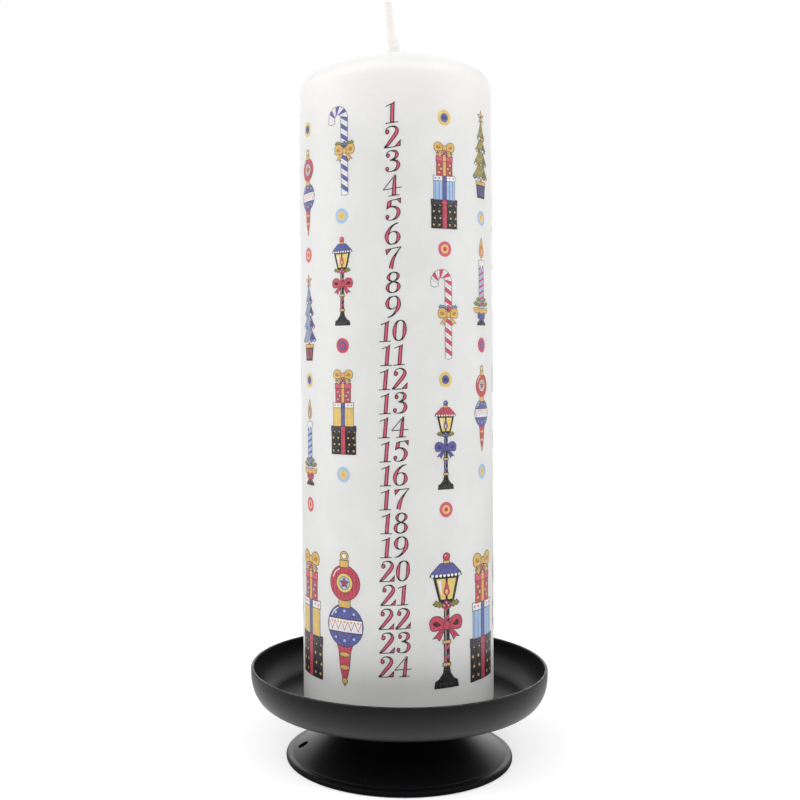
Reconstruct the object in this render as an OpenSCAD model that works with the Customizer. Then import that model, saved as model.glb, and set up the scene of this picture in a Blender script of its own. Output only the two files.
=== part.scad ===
// Calendar candle: a pillar candle printed with the days 1 to 24, standing on a footed pan

/* [Candle] */
// Diameter of the candle over its hard wax coat
candle_d = 65; // [55:1:85]
// Height of the wax from its base to the middle of the crown
candle_h = 217; // [180:1:280]
// Radius of the rounded shoulder
shoulder_r = 6.4; // [3:0.2:12]
// Radius of the domed crown
crown_r = 70; // [55:1:120]
// Thickness of the hard wax coat
coat_t = 1.5; // [0.8:0.1:3]
// Radius of the wax that climbs the wick
climb_r = 6.5; // [4:0.5:10]
// Height of the wax that climbs the wick
climb_h = 2.6; // [1:0.1:5]

/* [Wick] */
// Diameter of the waxed wick
wick_d = 2.4; // [1.6:0.1:3.4]
// Diameter of the wick where wax swells it above the crown
wick_root_d = 3.5; // [3.5:0.1:5]
// Length over which that swelling fades
wick_root_h = 5; // [2:0.5:8]
// Length of the wick above the wax
wick_free = 17.5; // [8:0.5:30]
// Lean of the free wick from upright
wick_lean = 8; // [0:1:15]
// Diameter of the metal tab under the wick
tab_d = 20; // [12:1:30]
// Thickness of the tab and of its neck
tab_t = 0.35; // [0.2:0.05:0.6]
// Height of the crimped neck on the tab
tab_neck_h = 6; // [3:0.5:12]
// Height of the tab above the base of the candle
tab_lift = 0.3; // [0.1:0.1:1]

/* [Numbers] */
// Thickness of the printed film
film_t = 0.15; // [0.1:0.01:0.3]
// From the crown down to the top of the first number
column_drop = 21.4; // [14:0.2:30]
// From the base up to the foot of the last number
column_rise = 15.6; // [8:0.2:30]
// Gap between two numbers of the column
digit_gap = 0.9; // [0.5:0.1:2]
// Gap between the two digits of a number
digit_space = 0.1; // [0:0.05:0.6]
// Last day of the calendar
last_day = 24; // [12:1:24]

/* [Motifs] */
// Rows of small motifs, which share the height above the border
rows = 3; // [1:1:3]
// Gap above each small motif, which holds a dot
motif_gap = 13; // [8:0.5:20]
// Rise from one column of motifs to the next
motif_step = 11; // [5:0.5:14]
// Clear width between two large motifs of the border
column_gap = 1.8; // [1:0.1:6]
// Height of a large motif in the bottom border
border_h = 43; // [30:1:44]
// From the base up to the foot of the border
border_rise = 11.5; // [6:0.5:20]
// From the top of the border up to the lowest small motif
border_gap = 9; // [5:0.5:16]
// Diameter of a ringed dot
dot_d = 4.7; // [3:0.1:6]

/* [Pan] */
// Thickness of the pressed sheet
sheet_t = 1; // [0.6:0.1:1.4]
// Clear floor between the candle and the turned-up wall
drip_gap = 9.7; // [6:0.1:20]
// Width over which the wall flares
wall_flare = 8.3; // [5:0.1:14]
// Height over which the wall flares
wall_rise = 11.1; // [6:0.1:16]
// Fullness of the wall's curve, 1 being an ellipse
wall_round = 0.87; // [0.7:0.01:1.2]
// Height of the upright edge above the curve
edge_h = 1.5; // [0.8:0.1:4]

/* [Foot] */
// Height from the ground to the underside of the pan
foot_h = 19.5; // [14:0.5:40]
// Diameter over the rolled bead at the ground
foot_d = 77.3; // [60:0.1:95]
// Diameter of the neck under the pan
neck_d = 34; // [26:1:44]
// Height of the rolled bead
bead_h = 2.1; // [1.6:0.1:4]
// Width of the rolled bead
bead_w = 2.6; // [2.4:0.1:5]
// Distance from the outer edge in to the foot of the step
step_inset = 2.15; // [1.8:0.05:2.4]
// Width of the step
step_w = 0.7; // [0.4:0.1:1.2]
// Height of the step
step_h = 0.46; // [0.2:0.02:0.8]
// Slope of the skirt where it leaves the step
skirt_slope = 27; // [15:1:38]
// Diameter of the vent hole
vent_d = 3.8; // [2:0.1:5]
// Distance from the step to the middle of the vent hole
vent_inset = 2.95; // [2.6:0.05:6]
// Bearing of the vent hole, from the front towards the right
vent_bearing = -83; // [-180:1:180]

/* [Rivet] */
// Diameter of the rivet's shank
rivet_d = 4; // [3:0.1:6]
// Diameter of the rivet's head
rivet_head_d = 8.4; // [7:0.1:11]
// Thickness of the rivet's head
rivet_head_t = 0.9; // [0.5:0.1:1.5]
// Clear width round the head in its dimple
dimple_gap = 0.9; // [0.3:0.1:2]
// Clear depth over the head in its dimple
dimple_clear = 0.25; // [0.1:0.05:0.6]

/* [Hidden] */
$fn = 96;

candle_r = candle_d / 2;
core_r = candle_r - coat_t;
wick_r = wick_d / 2;
wick_root_r = wick_root_d / 2;
tab_r = tab_d / 2;
tab_neck_r = wick_r + tab_t;
rivet_r = rivet_d / 2;
rivet_head_r = rivet_head_d / 2;
dimple_r = rivet_head_r + dimple_gap;
dimple_depth = rivet_head_t + dimple_clear;
pan_floor_r = candle_r + drip_gap;
pan_r = pan_floor_r + wall_flare;
foot_r = foot_d / 2;
neck_r = neck_d / 2;

// Heights above the ground
floor_z = foot_h + sheet_t;
wall_z = foot_h + wall_rise;
rim_z = wall_z + edge_h;
tab_z = floor_z + tab_lift;
tab_top_z = tab_z + tab_t;
neck_top_z = tab_top_z + tab_neck_h;
crown_z = floor_z + candle_h;
crown_centre_z = crown_z - crown_r;
shoulder_z = crown_centre_z + sqrt(pow(crown_r - shoulder_r, 2) - pow(candle_r - shoulder_r, 2));
shoulder_turn = atan2(shoulder_z - crown_centre_z, candle_r - shoulder_r);
root_z = crown_z + climb_h;

// Layout of the print
print_low_z = floor_z + column_rise;
print_top_z = crown_z - column_drop;
number_pitch = (print_top_z - print_low_z + digit_gap) / last_day;
digit_h = number_pitch - digit_gap;
drawn_h = 27;
drawn_w = 9.4;
border_scale = border_h / drawn_h;
border_z = floor_z + border_rise;
motif_z = border_z + border_h + border_gap;
phases = 3;
row_pitch = (print_top_z - motif_z - (phases - 1) * motif_step + motif_gap) / rows;
motif_h = row_pitch - motif_gap;
motif_scale = motif_h / drawn_h;
columns = floor(PI * candle_d / (drawn_w * border_scale + column_gap));
column_turn = 360 / columns;

// Motif kinds by number, and the kinds that take turns in the border
kind_fir_tree = 0;
kind_lamp_post = 1;
kind_ornament = 2;
kind_candy_cane = 3;
kind_taper = 4;
kind_parcel = 5;
kinds = 6;
border_kinds = [kind_fir_tree, kind_lamp_post, kind_parcel, kind_ornament];

// Numerals one unit high: widths, strokes as points of x, y and width, balls as x, y, radius, and wedges
numeral_w = [0.74, 0.64, 0.84, 0.78, 0.88, 0.78, 0.78, 0.82, 0.74, 0.78];
numeral_strokes = [
    [[[0.37, 0.98, 0.04], [0.18, 0.87, 0.1], [0.11, 0.5, 0.19], [0.18, 0.13, 0.1], [0.37, 0.02, 0.04]],
     [[0.37, 0.02, 0.04], [0.56, 0.13, 0.1], [0.63, 0.5, 0.19], [0.56, 0.87, 0.1], [0.37, 0.98, 0.04]]],
    [[[0.02, 0.81, 0.04], [0.27, 0.9, 0.04]],
     [[0.02, 0.02, 0.04], [0.62, 0.02, 0.04]]],
    [[[0.1, 0.74, 0.04], [0.15, 0.9, 0.04], [0.34, 0.98, 0.05], [0.55, 0.93, 0.1], [0.65, 0.76, 0.17],
      [0.57, 0.57, 0.19], [0.39, 0.35, 0.17], [0.21, 0.14, 0.14], [0.05, 0.03, 0.04]],
     [[0.05, 0.02, 0.04], [0.58, 0.02, 0.04]]],
    [[[0.1, 0.78, 0.04], [0.16, 0.93, 0.04], [0.34, 0.98, 0.05], [0.54, 0.92, 0.13], [0.6, 0.76, 0.18],
      [0.5, 0.61, 0.1], [0.28, 0.54, 0.04]],
     [[0.3, 0.54, 0.04], [0.52, 0.51, 0.09], [0.65, 0.4, 0.15], [0.68, 0.25, 0.18], [0.58, 0.08, 0.12],
      [0.36, 0.02, 0.04], [0.16, 0.06, 0.04], [0.08, 0.16, 0.04]]],
    [[[0.56, 0.98, 0.04], [0.02, 0.35, 0.04]],
     [[0.01, 0.34, 0.04], [0.87, 0.36, 0.04]],
     [[0.27, 0.02, 0.04], [0.79, 0.02, 0.04]]],
    [[[0.25, 0.93, 0.04], [0.6, 0.96, 0.04]],
     [[0.12, 0.56, 0.04], [0.28, 0.64, 0.05], [0.47, 0.62, 0.09], [0.63, 0.5, 0.15], [0.68, 0.32, 0.18],
      [0.58, 0.11, 0.13], [0.36, 0.02, 0.04], [0.16, 0.06, 0.04], [0.08, 0.18, 0.04]]],
    [[[0.65, 0.98, 0.04], [0.46, 0.93, 0.07], [0.26, 0.77, 0.12], [0.12, 0.48, 0.19], [0.15, 0.2, 0.14],
      [0.26, 0.05, 0.07], [0.4, 0.02, 0.04]],
     [[0.4, 0.02, 0.04], [0.58, 0.09, 0.1], [0.67, 0.31, 0.19], [0.6, 0.52, 0.12], [0.42, 0.61, 0.04],
      [0.26, 0.55, 0.04], [0.17, 0.42, 0.04]]],
    [[[0.26, 0.95, 0.04], [0.8, 0.98, 0.04]],
     [[0.79, 0.98, 0.04], [0.6, 0.74, 0.07], [0.42, 0.42, 0.16], [0.33, 0.02, 0.21]]],
    [[[0.37, 0.98, 0.04], [0.22, 0.91, 0.09], [0.15, 0.76, 0.16], [0.22, 0.61, 0.09], [0.39, 0.53, 0.05]],
     [[0.39, 0.53, 0.05], [0.55, 0.63, 0.09], [0.61, 0.77, 0.16], [0.54, 0.91, 0.09], [0.37, 0.98, 0.04]],
     [[0.39, 0.53, 0.05], [0.2, 0.45, 0.1], [0.12, 0.27, 0.18], [0.2, 0.09, 0.1], [0.38, 0.02, 0.04]],
     [[0.38, 0.02, 0.04], [0.57, 0.09, 0.1], [0.65, 0.27, 0.18], [0.57, 0.45, 0.1], [0.39, 0.53, 0.05]]]
];
numeral_balls = [[], [], [[0.19, 0.75, 0.1]], [[0.19, 0.78, 0.09], [0.16, 0.16, 0.09]], [],
                 [[0.16, 0.19, 0.09]], [], [], []];
numeral_wedges = [
    [],
    [[[0.24, 0.02], [0.44, 0.02], [0.44, 1], [0.24, 0.88]]],
    [[[0.52, 0.01], [0.83, 0.01], [0.83, 0.33]]],
    [],
    [[[0.42, 0.02], [0.63, 0.02], [0.61, 1], [0.46, 0.78]]],
    [[[0.1, 0.54], [0.33, 0.66], [0.34, 0.95], [0.14, 0.91]], [[0.54, 0.98], [0.78, 0.71], [0.78, 1]]],
    [],
    [[[0.04, 0.95], [0.11, 0.67], [0.38, 0.98]]],
    []
];

// A point between b and c on a smooth curve through a, b, c and d
function between(a, b, c, d, t) = 0.5 * (2 * b + (c - a) * t + (2 * a - 5 * b + 4 * c - d) * t * t
    + (3 * b - a - 3 * c + d) * t * t * t);

// The curve through a list of points, with a number of steps to each stretch
function smooth(p, steps) = let (last = len(p) - 1) concat([for (i = [0 : last - 1])
    for (j = [0 : steps - 1]) between(p[max(i - 1, 0)], p[i], p[i + 1], p[min(i + 2, last)], j / steps)],
    [p[last]]);

// One edge of a stroke, half its width to the left (side 1) or to the right (side -1)
function stroke_edge(p, side) = [for (i = [0 : len(p) - 1])
    let (run = p[min(i + 1, len(p) - 1)] - p[max(i - 1, 0)], across = [-run.y, run.x] / norm([run.x, run.y]))
    [p[i].x, p[i].y] + side * across * p[i].z / 2];

function backwards(p) = [for (i = [len(p) - 1 : -1 : 0]) p[i]];

// Outline of a star of so many points
function star(points, tip, inner) = [for (i = [0 : 2 * points - 1])
    let (r = i % 2 == 0 ? tip : inner, a = 90 + i * 180 / points) [r * cos(a), r * sin(a)]];

// A power that keeps the sign, for curves fuller than an ellipse
function full(x, power) = sign(x) * pow(abs(x), power);

// Wax profile from the side over the shoulder to the given radius, inset by a thickness
profile_steps = 8;
function wax_cap(inset, end_r) =
    let (end_turn = acos(end_r / (crown_r - inset)), step = (end_turn - shoulder_turn) / profile_steps)
    concat([for (i = [0 : profile_steps])
                let (a = shoulder_turn * i / profile_steps, r = shoulder_r - inset)
                [candle_r - shoulder_r + r * cos(a), shoulder_z + r * sin(a)]],
           [for (i = [1 : profile_steps])
                let (a = shoulder_turn + step * i, r = crown_r - inset)
                [r * cos(a), crown_centre_z + r * sin(a)]]);

// Curve of the pan's wall, inset by a thickness, from its upright edge to its floor
function pan_wall(inset) = [for (a = [0 : 7.5 : 90])
    [pan_floor_r + (wall_flare - inset) * full(cos(a), wall_round),
     wall_z - (wall_rise - inset) * full(sin(a), wall_round)]];

// The dimple in a sheet surface at height z, from the rivet's hole outwards
function dimple(z) = let (low = z - dimple_depth)
    [[rivet_r, low], [dimple_r, low], [dimple_r + dimple_depth, z]];

// A point on the rolled bead, by its angle
bead_round = 0.8;
function bead(a) = [foot_r - bead_w / 2 + bead_w / 2 * full(cos(a), bead_round),
                    bead_h / 2 + bead_h / 2 * full(sin(a), bead_round)];

// The foot's skirt leaves a small step above the bead at a slope and bends up to its neck
neck_corner = 2 * sheet_t;
skirt_top = [neck_r, foot_h - neck_corner];
step_foot = [foot_r - step_inset, bead_h];
skirt_edge = step_foot + [-step_w, step_h];
skirt_bend = [neck_r, skirt_edge.y + (skirt_edge.x - neck_r) * tan(skirt_slope)];

// One point of the skirt's curve, from the neck (0) to the step (1)
function skirt_point(t) = pow(1 - t, 2) * skirt_top + 2 * t * (1 - t) * skirt_bend + t * t * skirt_edge;

// The skirt's curve, inset by a thickness
skirt_steps = 14;
function skirt(inset) = [for (i = [0 : skirt_steps])
    let (t = i / skirt_steps, run = (1 - t) * (skirt_bend - skirt_top) + t * (skirt_edge - skirt_bend))
    skirt_point(t) + inset * [run.y, -run.x] / norm(run)];

// Bend of the foot's neck under the pan, with a radius r
function neck_bend(r) = [for (a = [90 : -15 : 15]) skirt_top + [r * cos(a) - neck_corner, r * sin(a)]];

module pan() {
    lip = [for (a = [0 : 30 : 180]) [pan_r - sheet_t / 2 + sheet_t / 2 * cos(a), rim_z - sheet_t / 2
        + sheet_t / 2 * sin(a)]];
    color([0.07, 0.07, 0.075])
    rotate_extrude()
    polygon(concat(dimple(floor_z), backwards(pan_wall(sheet_t)), backwards(lip), pan_wall(0),
                   backwards(dimple(foot_h))));
}

module foot() {
    land = 75;
    rolled = [for (a = [90 : -15 : 15 - land]) bead(a)];
    vent = skirt_edge - [vent_inset, -vent_inset * tan(skirt_slope)];
    tucked = [for (a = [-120, -150]) bead(a)];
    color([0.06, 0.06, 0.065])
    difference() {
        rotate_extrude()
        polygon(concat(dimple(foot_h), neck_bend(neck_corner), skirt(0), [step_foot], rolled,
                       [[bead(-land).x, 0], [bead(land - 180).x, 0]], tucked,
                       backwards(skirt(sheet_t)), backwards(neck_bend(neck_corner - sheet_t)),
                       backwards(dimple(foot_h - sheet_t))));
        rotate([0, 0, vent_bearing])
        translate([0, -vent.x, vent.y])
        rotate([skirt_slope, 0, 0])
        cylinder(h = 6 * sheet_t, d = vent_d, center = true);
    }
}

module rivet() {
    seat_z = floor_z - dimple_depth;
    tail_z = seat_z - 2 * sheet_t;
    clinch_r = rivet_r + 0.4 * rivet_d;
    clinch_t = 0.3 * rivet_d;
    edge = 0.3 * rivet_head_t;
    color([0.55, 0.55, 0.56])
    difference() {
        rotate_extrude()
        polygon([[0, seat_z + rivet_head_t], [rivet_head_r - edge, seat_z + rivet_head_t],
                 [rivet_head_r, seat_z + rivet_head_t - edge], [rivet_head_r, seat_z], [rivet_r, seat_z],
                 [rivet_r, tail_z], [clinch_r, tail_z], [clinch_r, tail_z - clinch_t / 2],
                 [clinch_r - clinch_t / 2, tail_z - clinch_t], [0, tail_z - clinch_t]]);
        translate([0, 0, tail_z - clinch_t - 1])
        cylinder(h = 1 + clinch_t + sheet_t, r = 0.6 * rivet_r);
    }
}

module candle_core() {
    color([0.95, 0.94, 0.9])
    rotate_extrude()
    polygon(concat([[tab_r, floor_z], [core_r, floor_z]], wax_cap(coat_t, wick_r),
                   [[wick_r, neck_top_z], [tab_neck_r, neck_top_z], [tab_neck_r, tab_top_z],
                    [tab_r, tab_top_z]]));
}

module wax_coat() {
    cap = wax_cap(0, climb_r);
    foot_of_climb = cap[len(cap) - 1];
    climb = [for (i = [1 : profile_steps]) let (t = i / profile_steps)
        foot_of_climb + [t * (wick_root_r - climb_r), t * t * (root_z - foot_of_climb.y)]];
    color([0.98, 0.98, 0.97])
    difference() {
        rotate_extrude()
        polygon(concat([[core_r, floor_z], [candle_r, floor_z]], cap, climb, [[wick_r, root_z]],
                       backwards(wax_cap(coat_t, wick_r))));
        translate([0, 0, root_z])
        sphere(r = wick_root_r);
    }
}

module wick() {
    color([0.93, 0.92, 0.88]) {
        translate([0, 0, tab_top_z])
        cylinder(h = root_z - tab_top_z, r = wick_r);
        translate([0, 0, root_z]) {
            sphere(r = wick_root_r);
            rotate([0, -wick_lean, 0]) {
                cylinder(h = wick_root_h, r1 = wick_root_r, r2 = wick_r);
                cylinder(h = wick_free, r = wick_r);
            }
        }
    }
}

module wick_tab() {
    color([0.72, 0.73, 0.74]) {
        translate([0, 0, tab_z])
        cylinder(h = tab_t, r = tab_r);
        translate([0, 0, tab_top_z])
        difference() {
            cylinder(h = tab_neck_h, r = tab_neck_r);
            translate([0, 0, -1])
            cylinder(h = tab_neck_h + 2, r = wick_r);
        }
    }
}

// A flat drawing laid on the wax at a bearing and height, as a film
module film(bearing, z, tall) {
    margin = 1;
    reach = 5;
    intersection() {
        translate([0, 0, z - margin])
        difference() {
            cylinder(h = tall + 2 * margin, r = candle_r + film_t);
            translate([0, 0, -1])
            cylinder(h = tall + 2 * margin + 2, r = candle_r);
        }
        rotate([0, 0, bearing])
        translate([0, margin - candle_r + reach, z])
        rotate([90, 0, 0])
        linear_extrude(reach + 2 * margin)
        children();
    }
}

// One numeral, a unit high, with the middle of its foot at the origin
module numeral(digit) {
    flipped = digit == 9;
    drawn = flipped ? 6 : digit;
    translate([flipped ? numeral_w[drawn] / 2 : -numeral_w[drawn] / 2, flipped ? 1 : 0])
    rotate(flipped ? 180 : 0) {
        for (p = numeral_strokes[drawn]) {
            s = len(p) == 2 ? p : smooth(p, 2);
            polygon(concat(stroke_edge(s, 1), backwards(stroke_edge(s, -1))));
        }
        for (b = numeral_balls[drawn])
            translate([b.x, b.y])
            circle(r = b.z, $fn = 24);
        for (w = numeral_wedges[drawn])
            polygon(w);
    }
}

module day_numbers() {
    color([0.8, 0.25, 0.38])
    for (day = [1 : last_day]) {
        tens = floor(day / 10);
        ones = day % 10;
        pair_w = (numeral_w[tens] + numeral_w[ones]) * digit_h + digit_space;
        film(0, print_top_z + digit_gap - day * number_pitch, digit_h) {
            if (tens == 0)
                scale(digit_h)
                numeral(ones);
            if (tens > 0)
                translate([(numeral_w[tens] * digit_h - pair_w) / 2, 0])
                scale(digit_h)
                numeral(tens);
            if (tens > 0)
                translate([(pair_w - numeral_w[ones] * digit_h) / 2, 0])
                scale(digit_h)
                numeral(ones);
        }
    }
}

// A ribbon bow with its knot at the origin
module bow(wide, tall) {
    for (side = [0, 1])
        mirror([side, 0]) {
            polygon([[0, 0.3], [0.3 * wide, 0.5 * tall], [0.5 * wide, 0.3 * tall],
                     [0.45 * wide, -0.25 * tall], [0, -0.3]]);
            polygon([[0, 0], [0.5, -0.2], [0.4 * wide, -0.8 * tall], [0.22 * wide, -0.85 * tall]]);
        }
    circle(r = 0.8, $fn = 24);
}

// The motifs are drawn 27 high, with their foot at the origin

module fir_tree() {
    // Half width, height and rise of each tier of branches
    tiers = [[4.6, 6.2, 7.6], [3.9, 10.4, 7.2], [3.1, 14.6, 6.4], [2.2, 18.4, 5.8]];
    polygon([[-2.2, 0], [2.2, 0], [2.8, 4], [3.1, 4], [3.1, 5], [-3.1, 5], [-3.1, 4], [-2.8, 4]]);
    translate([-0.5, 5])
    square([1, 1.4]);
    for (t = tiers)
        polygon([[-t.x, t.y], [-0.5 * t.x, t.y + 0.3], [0, t.y - 0.3], [0.5 * t.x, t.y + 0.3], [t.x, t.y],
                 [0, t.y + t.z]]);
    translate([0, 25])
    polygon(star(5, 2, 0.85));
}

module lamp_post() {
    polygon([[-2.7, 0], [2.7, 0], [2.5, 1.2], [1.7, 1.6], [0.8, 2.8], [0.5, 4], [0.5, 16.6], [1.6, 17.2],
             [2.9, 22.2], [3.6, 22.4], [1.3, 24.8], [0.5, 25.2], [0.5, 26.2], [0, 27], [-0.5, 26.2],
             [-0.5, 25.2], [-1.3, 24.8], [-3.6, 22.4], [-2.9, 22.2], [-1.6, 17.2], [-0.5, 16.6], [-0.5, 4],
             [-0.8, 2.8], [-1.7, 1.6], [-2.5, 1.2]]);
    translate([0, 12.6])
    bow(7.4, 3.4);
}

module ornament() {
    translate([0, 26])
    difference() {
        circle(r = 1, $fn = 24);
        circle(r = 0.6, $fn = 24);
    }
    translate([-0.9, 23.8])
    square([1.8, 1.4]);
    translate([0, 20.6])
    circle(r = 3.5);
    translate([-1.3, 15.4])
    square([2.6, 2.2]);
    translate([0, 12])
    circle(r = 4.2);
    polygon([[-1.8, 8.4], [1.8, 8.4], [1.2, 6], [0.9, 3], [0, 0], [-0.9, 3], [-1.2, 6]]);
}

module candy_cane() {
    hook_r = 3.5;
    hook_y = drawn_h - hook_r;
    band = 2.3;
    translate([-1.2, hook_y]) {
        intersection() {
            difference() {
                circle(r = hook_r);
                circle(r = hook_r - band);
            }
            translate([-hook_r, 0])
            square([2 * hook_r, hook_r]);
        }
        translate([-hook_r, -1.6])
        square([band, 1.6]);
        translate([hook_r - band, -hook_y])
        square([band, hook_y]);
    }
    translate([1.1, 13.6])
    bow(7, 3.6);
}

module taper() {
    polygon([[-2.6, 0], [2.6, 0], [1.4, 1.2], [0.8, 2], [0.8, 3.2], [4.2, 4], [4.5, 5.2], [-4.5, 5.2],
             [-4.2, 4], [-0.8, 3.2], [-0.8, 2], [-1.4, 1.2]]);
    translate([-1.5, 5.2])
    square([3, 14.4]);
    translate([-0.2, 19.6])
    square([0.4, 1.4]);
    polygon([[0, 27], [0.9, 24.8], [1.4, 23], [1.2, 21.6], [0, 20.8],
             [-1.2, 21.6], [-1.4, 23], [-0.9, 24.8]]);
}

module parcels() {
    translate([-4.4, 0])
    square([8.8, 8.6]);
    translate([-3.6, 8.6])
    square([7.2, 7.2]);
    translate([-2.7, 15.8])
    square([5.4, 5.8]);
    translate([0, 24.2])
    bow(7, 3.2);
}

// Every place of one kind of motif, small ones in rising columns and large ones in the border
module prints(kind) {
    for (column = [1 : columns - 1]) {
        for (row = [0 : rows - 1])
            if ((column + 2 * row) % kinds == kind)
                film(column * column_turn, motif_z + column % phases * motif_step + row * row_pitch, motif_h)
                scale(motif_scale)
                children();
        if (border_kinds[column % len(border_kinds)] == kind)
            film(column * column_turn, border_z, border_h)
            scale(border_scale)
            children();
    }
}

module fir_tree_prints() {
    color([0.56, 0.6, 0.3])
    prints(kind_fir_tree)
    fir_tree();
}

module lamp_post_prints() {
    color([0.2, 0.2, 0.24])
    prints(kind_lamp_post)
    lamp_post();
}

module ornament_prints() {
    color([0.36, 0.38, 0.68])
    prints(kind_ornament)
    ornament();
}

module candy_cane_prints() {
    color([0.85, 0.4, 0.5])
    prints(kind_candy_cane)
    candy_cane();
}

module taper_prints() {
    color([0.88, 0.74, 0.36])
    prints(kind_taper)
    taper();
}

module parcel_prints() {
    color([0.55, 0.62, 0.85])
    prints(kind_parcel)
    parcels();
}

module dot_prints() {
    color([0.9, 0.78, 0.4])
    for (column = [1 : columns - 1])
        for (row = [-1 : rows - 1]) {
            z = motif_z + (column % phases) * motif_step + (row + 1) * row_pitch - motif_gap / 2;
            if (z > motif_z && z < print_top_z - dot_d / 2)
                film(column * column_turn, z - dot_d / 2, dot_d)
                translate([0, dot_d / 2])
                circle(d = dot_d);
        }
}

pan();
foot();
rivet();
candle_core();
wax_coat();
wick();
wick_tab();
day_numbers();
fir_tree_prints();
lamp_post_prints();
ornament_prints();
candy_cane_prints();
taper_prints();
parcel_prints();
dot_prints();
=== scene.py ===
import math

import bmesh
import bpy
from mathutils import Matrix, Vector, noise
from mathutils.geometry import delaunay_2d_cdt


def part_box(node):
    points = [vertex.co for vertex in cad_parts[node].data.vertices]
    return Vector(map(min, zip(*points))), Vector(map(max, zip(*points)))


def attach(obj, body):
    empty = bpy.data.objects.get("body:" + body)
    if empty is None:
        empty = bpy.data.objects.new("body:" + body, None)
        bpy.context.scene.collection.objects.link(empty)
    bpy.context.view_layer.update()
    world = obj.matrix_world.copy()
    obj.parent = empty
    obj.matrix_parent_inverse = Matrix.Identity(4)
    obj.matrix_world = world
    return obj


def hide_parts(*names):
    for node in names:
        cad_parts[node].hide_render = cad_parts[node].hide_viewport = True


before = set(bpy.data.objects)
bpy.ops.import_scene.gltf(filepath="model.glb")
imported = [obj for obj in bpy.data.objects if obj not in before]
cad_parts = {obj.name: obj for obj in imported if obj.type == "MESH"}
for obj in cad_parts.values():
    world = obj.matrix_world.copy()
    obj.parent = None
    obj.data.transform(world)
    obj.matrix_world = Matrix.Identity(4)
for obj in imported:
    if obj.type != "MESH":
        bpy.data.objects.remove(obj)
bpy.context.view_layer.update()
noise.seed_set(24)              # without it noise_vector starts from the clock
print("frame loaded with", len(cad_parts), "nodes")

mm = 0.001
fullTurn = 2 * math.pi
creaseAngle = math.radians(38)

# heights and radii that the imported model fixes, in millimetres
panHigh = Vector(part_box("pan")[1]) / mm
footHigh = Vector(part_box("foot")[1]) / mm
coatLow, coatHigh = (Vector(corner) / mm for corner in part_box("wax_coat"))
wickLow, wickHigh = (Vector(corner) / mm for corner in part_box("wick"))
candleR = coatHigh.x
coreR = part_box("candle_core")[1][0] / mm
floorZ = coatLow.z              # top of the pan's floor, where the candle stands
rootZ = coatHigh.z              # where the wick leaves the wax


def newObject(name, data):
    made = bpy.data.objects.new(name, data)
    bpy.context.scene.collection.objects.link(made)
    return made


def meshFrom(bm, name):
    mesh = bpy.data.meshes.new(name)
    bm.to_mesh(mesh)
    bm.free()
    return mesh


def clamped(x):
    return min(1, max(0, x))


# camera: 37 cm off, a little above half the candle's height, looking slightly down
cameraSetup = {"place": (10.21, -373.57, 134.09), "turn": 5.2, "dip": 1.29, "roll": -0.43,
               "lens": 49.06, "shift": (0.091, -0.0118)}


def setCamera(s):
    data = bpy.data.cameras.new("viewCamera")
    data.sensor_width = 36
    data.lens = s["lens"]
    data.shift_x, data.shift_y = s["shift"]
    data.clip_start = 0.01
    camera = newObject("viewCamera", data)
    camera.matrix_world = (Matrix.Translation(Vector(s["place"]) * mm)
                           @ Matrix.Rotation(math.radians(s["turn"]), 4, "Z")
                           @ Matrix.Rotation(math.radians(90 - s["dip"]), 4, "X")
                           @ Matrix.Rotation(math.radians(s["roll"]), 4, "Z"))
    bpy.context.scene.camera = camera


setCamera(cameraSetup)


# node helpers: a socket is given as a value or as another node's output
def node(tree, kind, sockets=None, **settings):
    made = tree.nodes.new("ShaderNode" + kind)
    for key, value in settings.items():
        setattr(made, key, value)
    for key, value in (sockets or {}).items():
        if isinstance(value, bpy.types.NodeSocket):
            tree.links.new(value, made.inputs[key])
        else:
            made.inputs[key].default_value = value
    return made


def maths(tree, operation, a, b=0.0):
    return node(tree, "Math", {0: a, 1: b}, operation=operation).outputs[0]


def vectorMaths(tree, operation, a, b):
    return node(tree, "VectorMath", {0: a, 1: b}, operation=operation)


def plus(tree, a, b):
    return maths(tree, "ADD", a, b)


def minus(tree, a, b):
    return maths(tree, "SUBTRACT", a, b)


def times(tree, a, b):
    return maths(tree, "MULTIPLY", a, b)


def ramped(tree, value, low, high, toLow=0.0, toHigh=1.0):
    return node(tree, "MapRange", {"Value": value, "From Min": low, "From Max": high,
                                   "To Min": toLow, "To Max": toHigh}).outputs[0]


def varied(tree, grainy, low, high):
    # the span that most of a noise lies in, turned into another span
    return ramped(tree, grainy, 0.3, 0.7, low, high)


def blended(tree, factor, a, b):
    return node(tree, "Mix", {0: factor, 6: a, 7: b}, data_type="RGBA").outputs[2]


def noiseOf(tree, vector, size, detail=2.0):
    scale = maths(tree, "DIVIDE", 1.0, size)
    return node(tree, "TexNoise", {"Vector": vector, "Scale": scale, "Detail": detail}).outputs[0]


def millimetres(tree, squeeze=(1, 1, 1)):
    # object coordinates in millimetres, squeezed along an axis for fibres and streaks
    place = node(tree, "TexCoord").outputs["Object"]
    return vectorMaths(tree, "MULTIPLY", place, [s / mm for s in squeeze]).outputs[0]


def heightOf(tree, place):
    return node(tree, "SeparateXYZ", {0: place}).outputs["Z"]


def lengthOf(tree, vector):
    return node(tree, "VectorMath", {0: vector}, operation="LENGTH").outputs["Value"]


def seenDirectly(tree):
    # 1 for rays from the lens, gloss and glass, 0 where light is gathered
    path = node(tree, "LightPath")
    either = maths(tree, "MAXIMUM", path.outputs["Is Camera Ray"], path.outputs["Is Glossy Ray"])
    return maths(tree, "MAXIMUM", either, path.outputs["Is Transmission Ray"])


def tone(chip):
    # a colour as on a paint chart, turned into the linear values that shaders take
    parts = [int(chip[i:i + 2], 16) / 255 for i in (0, 2, 4)]
    return [p / 12.92 if p <= 0.04045 else ((p + 0.055) / 1.055) ** 2.4 for p in parts] + [1.0]


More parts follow.
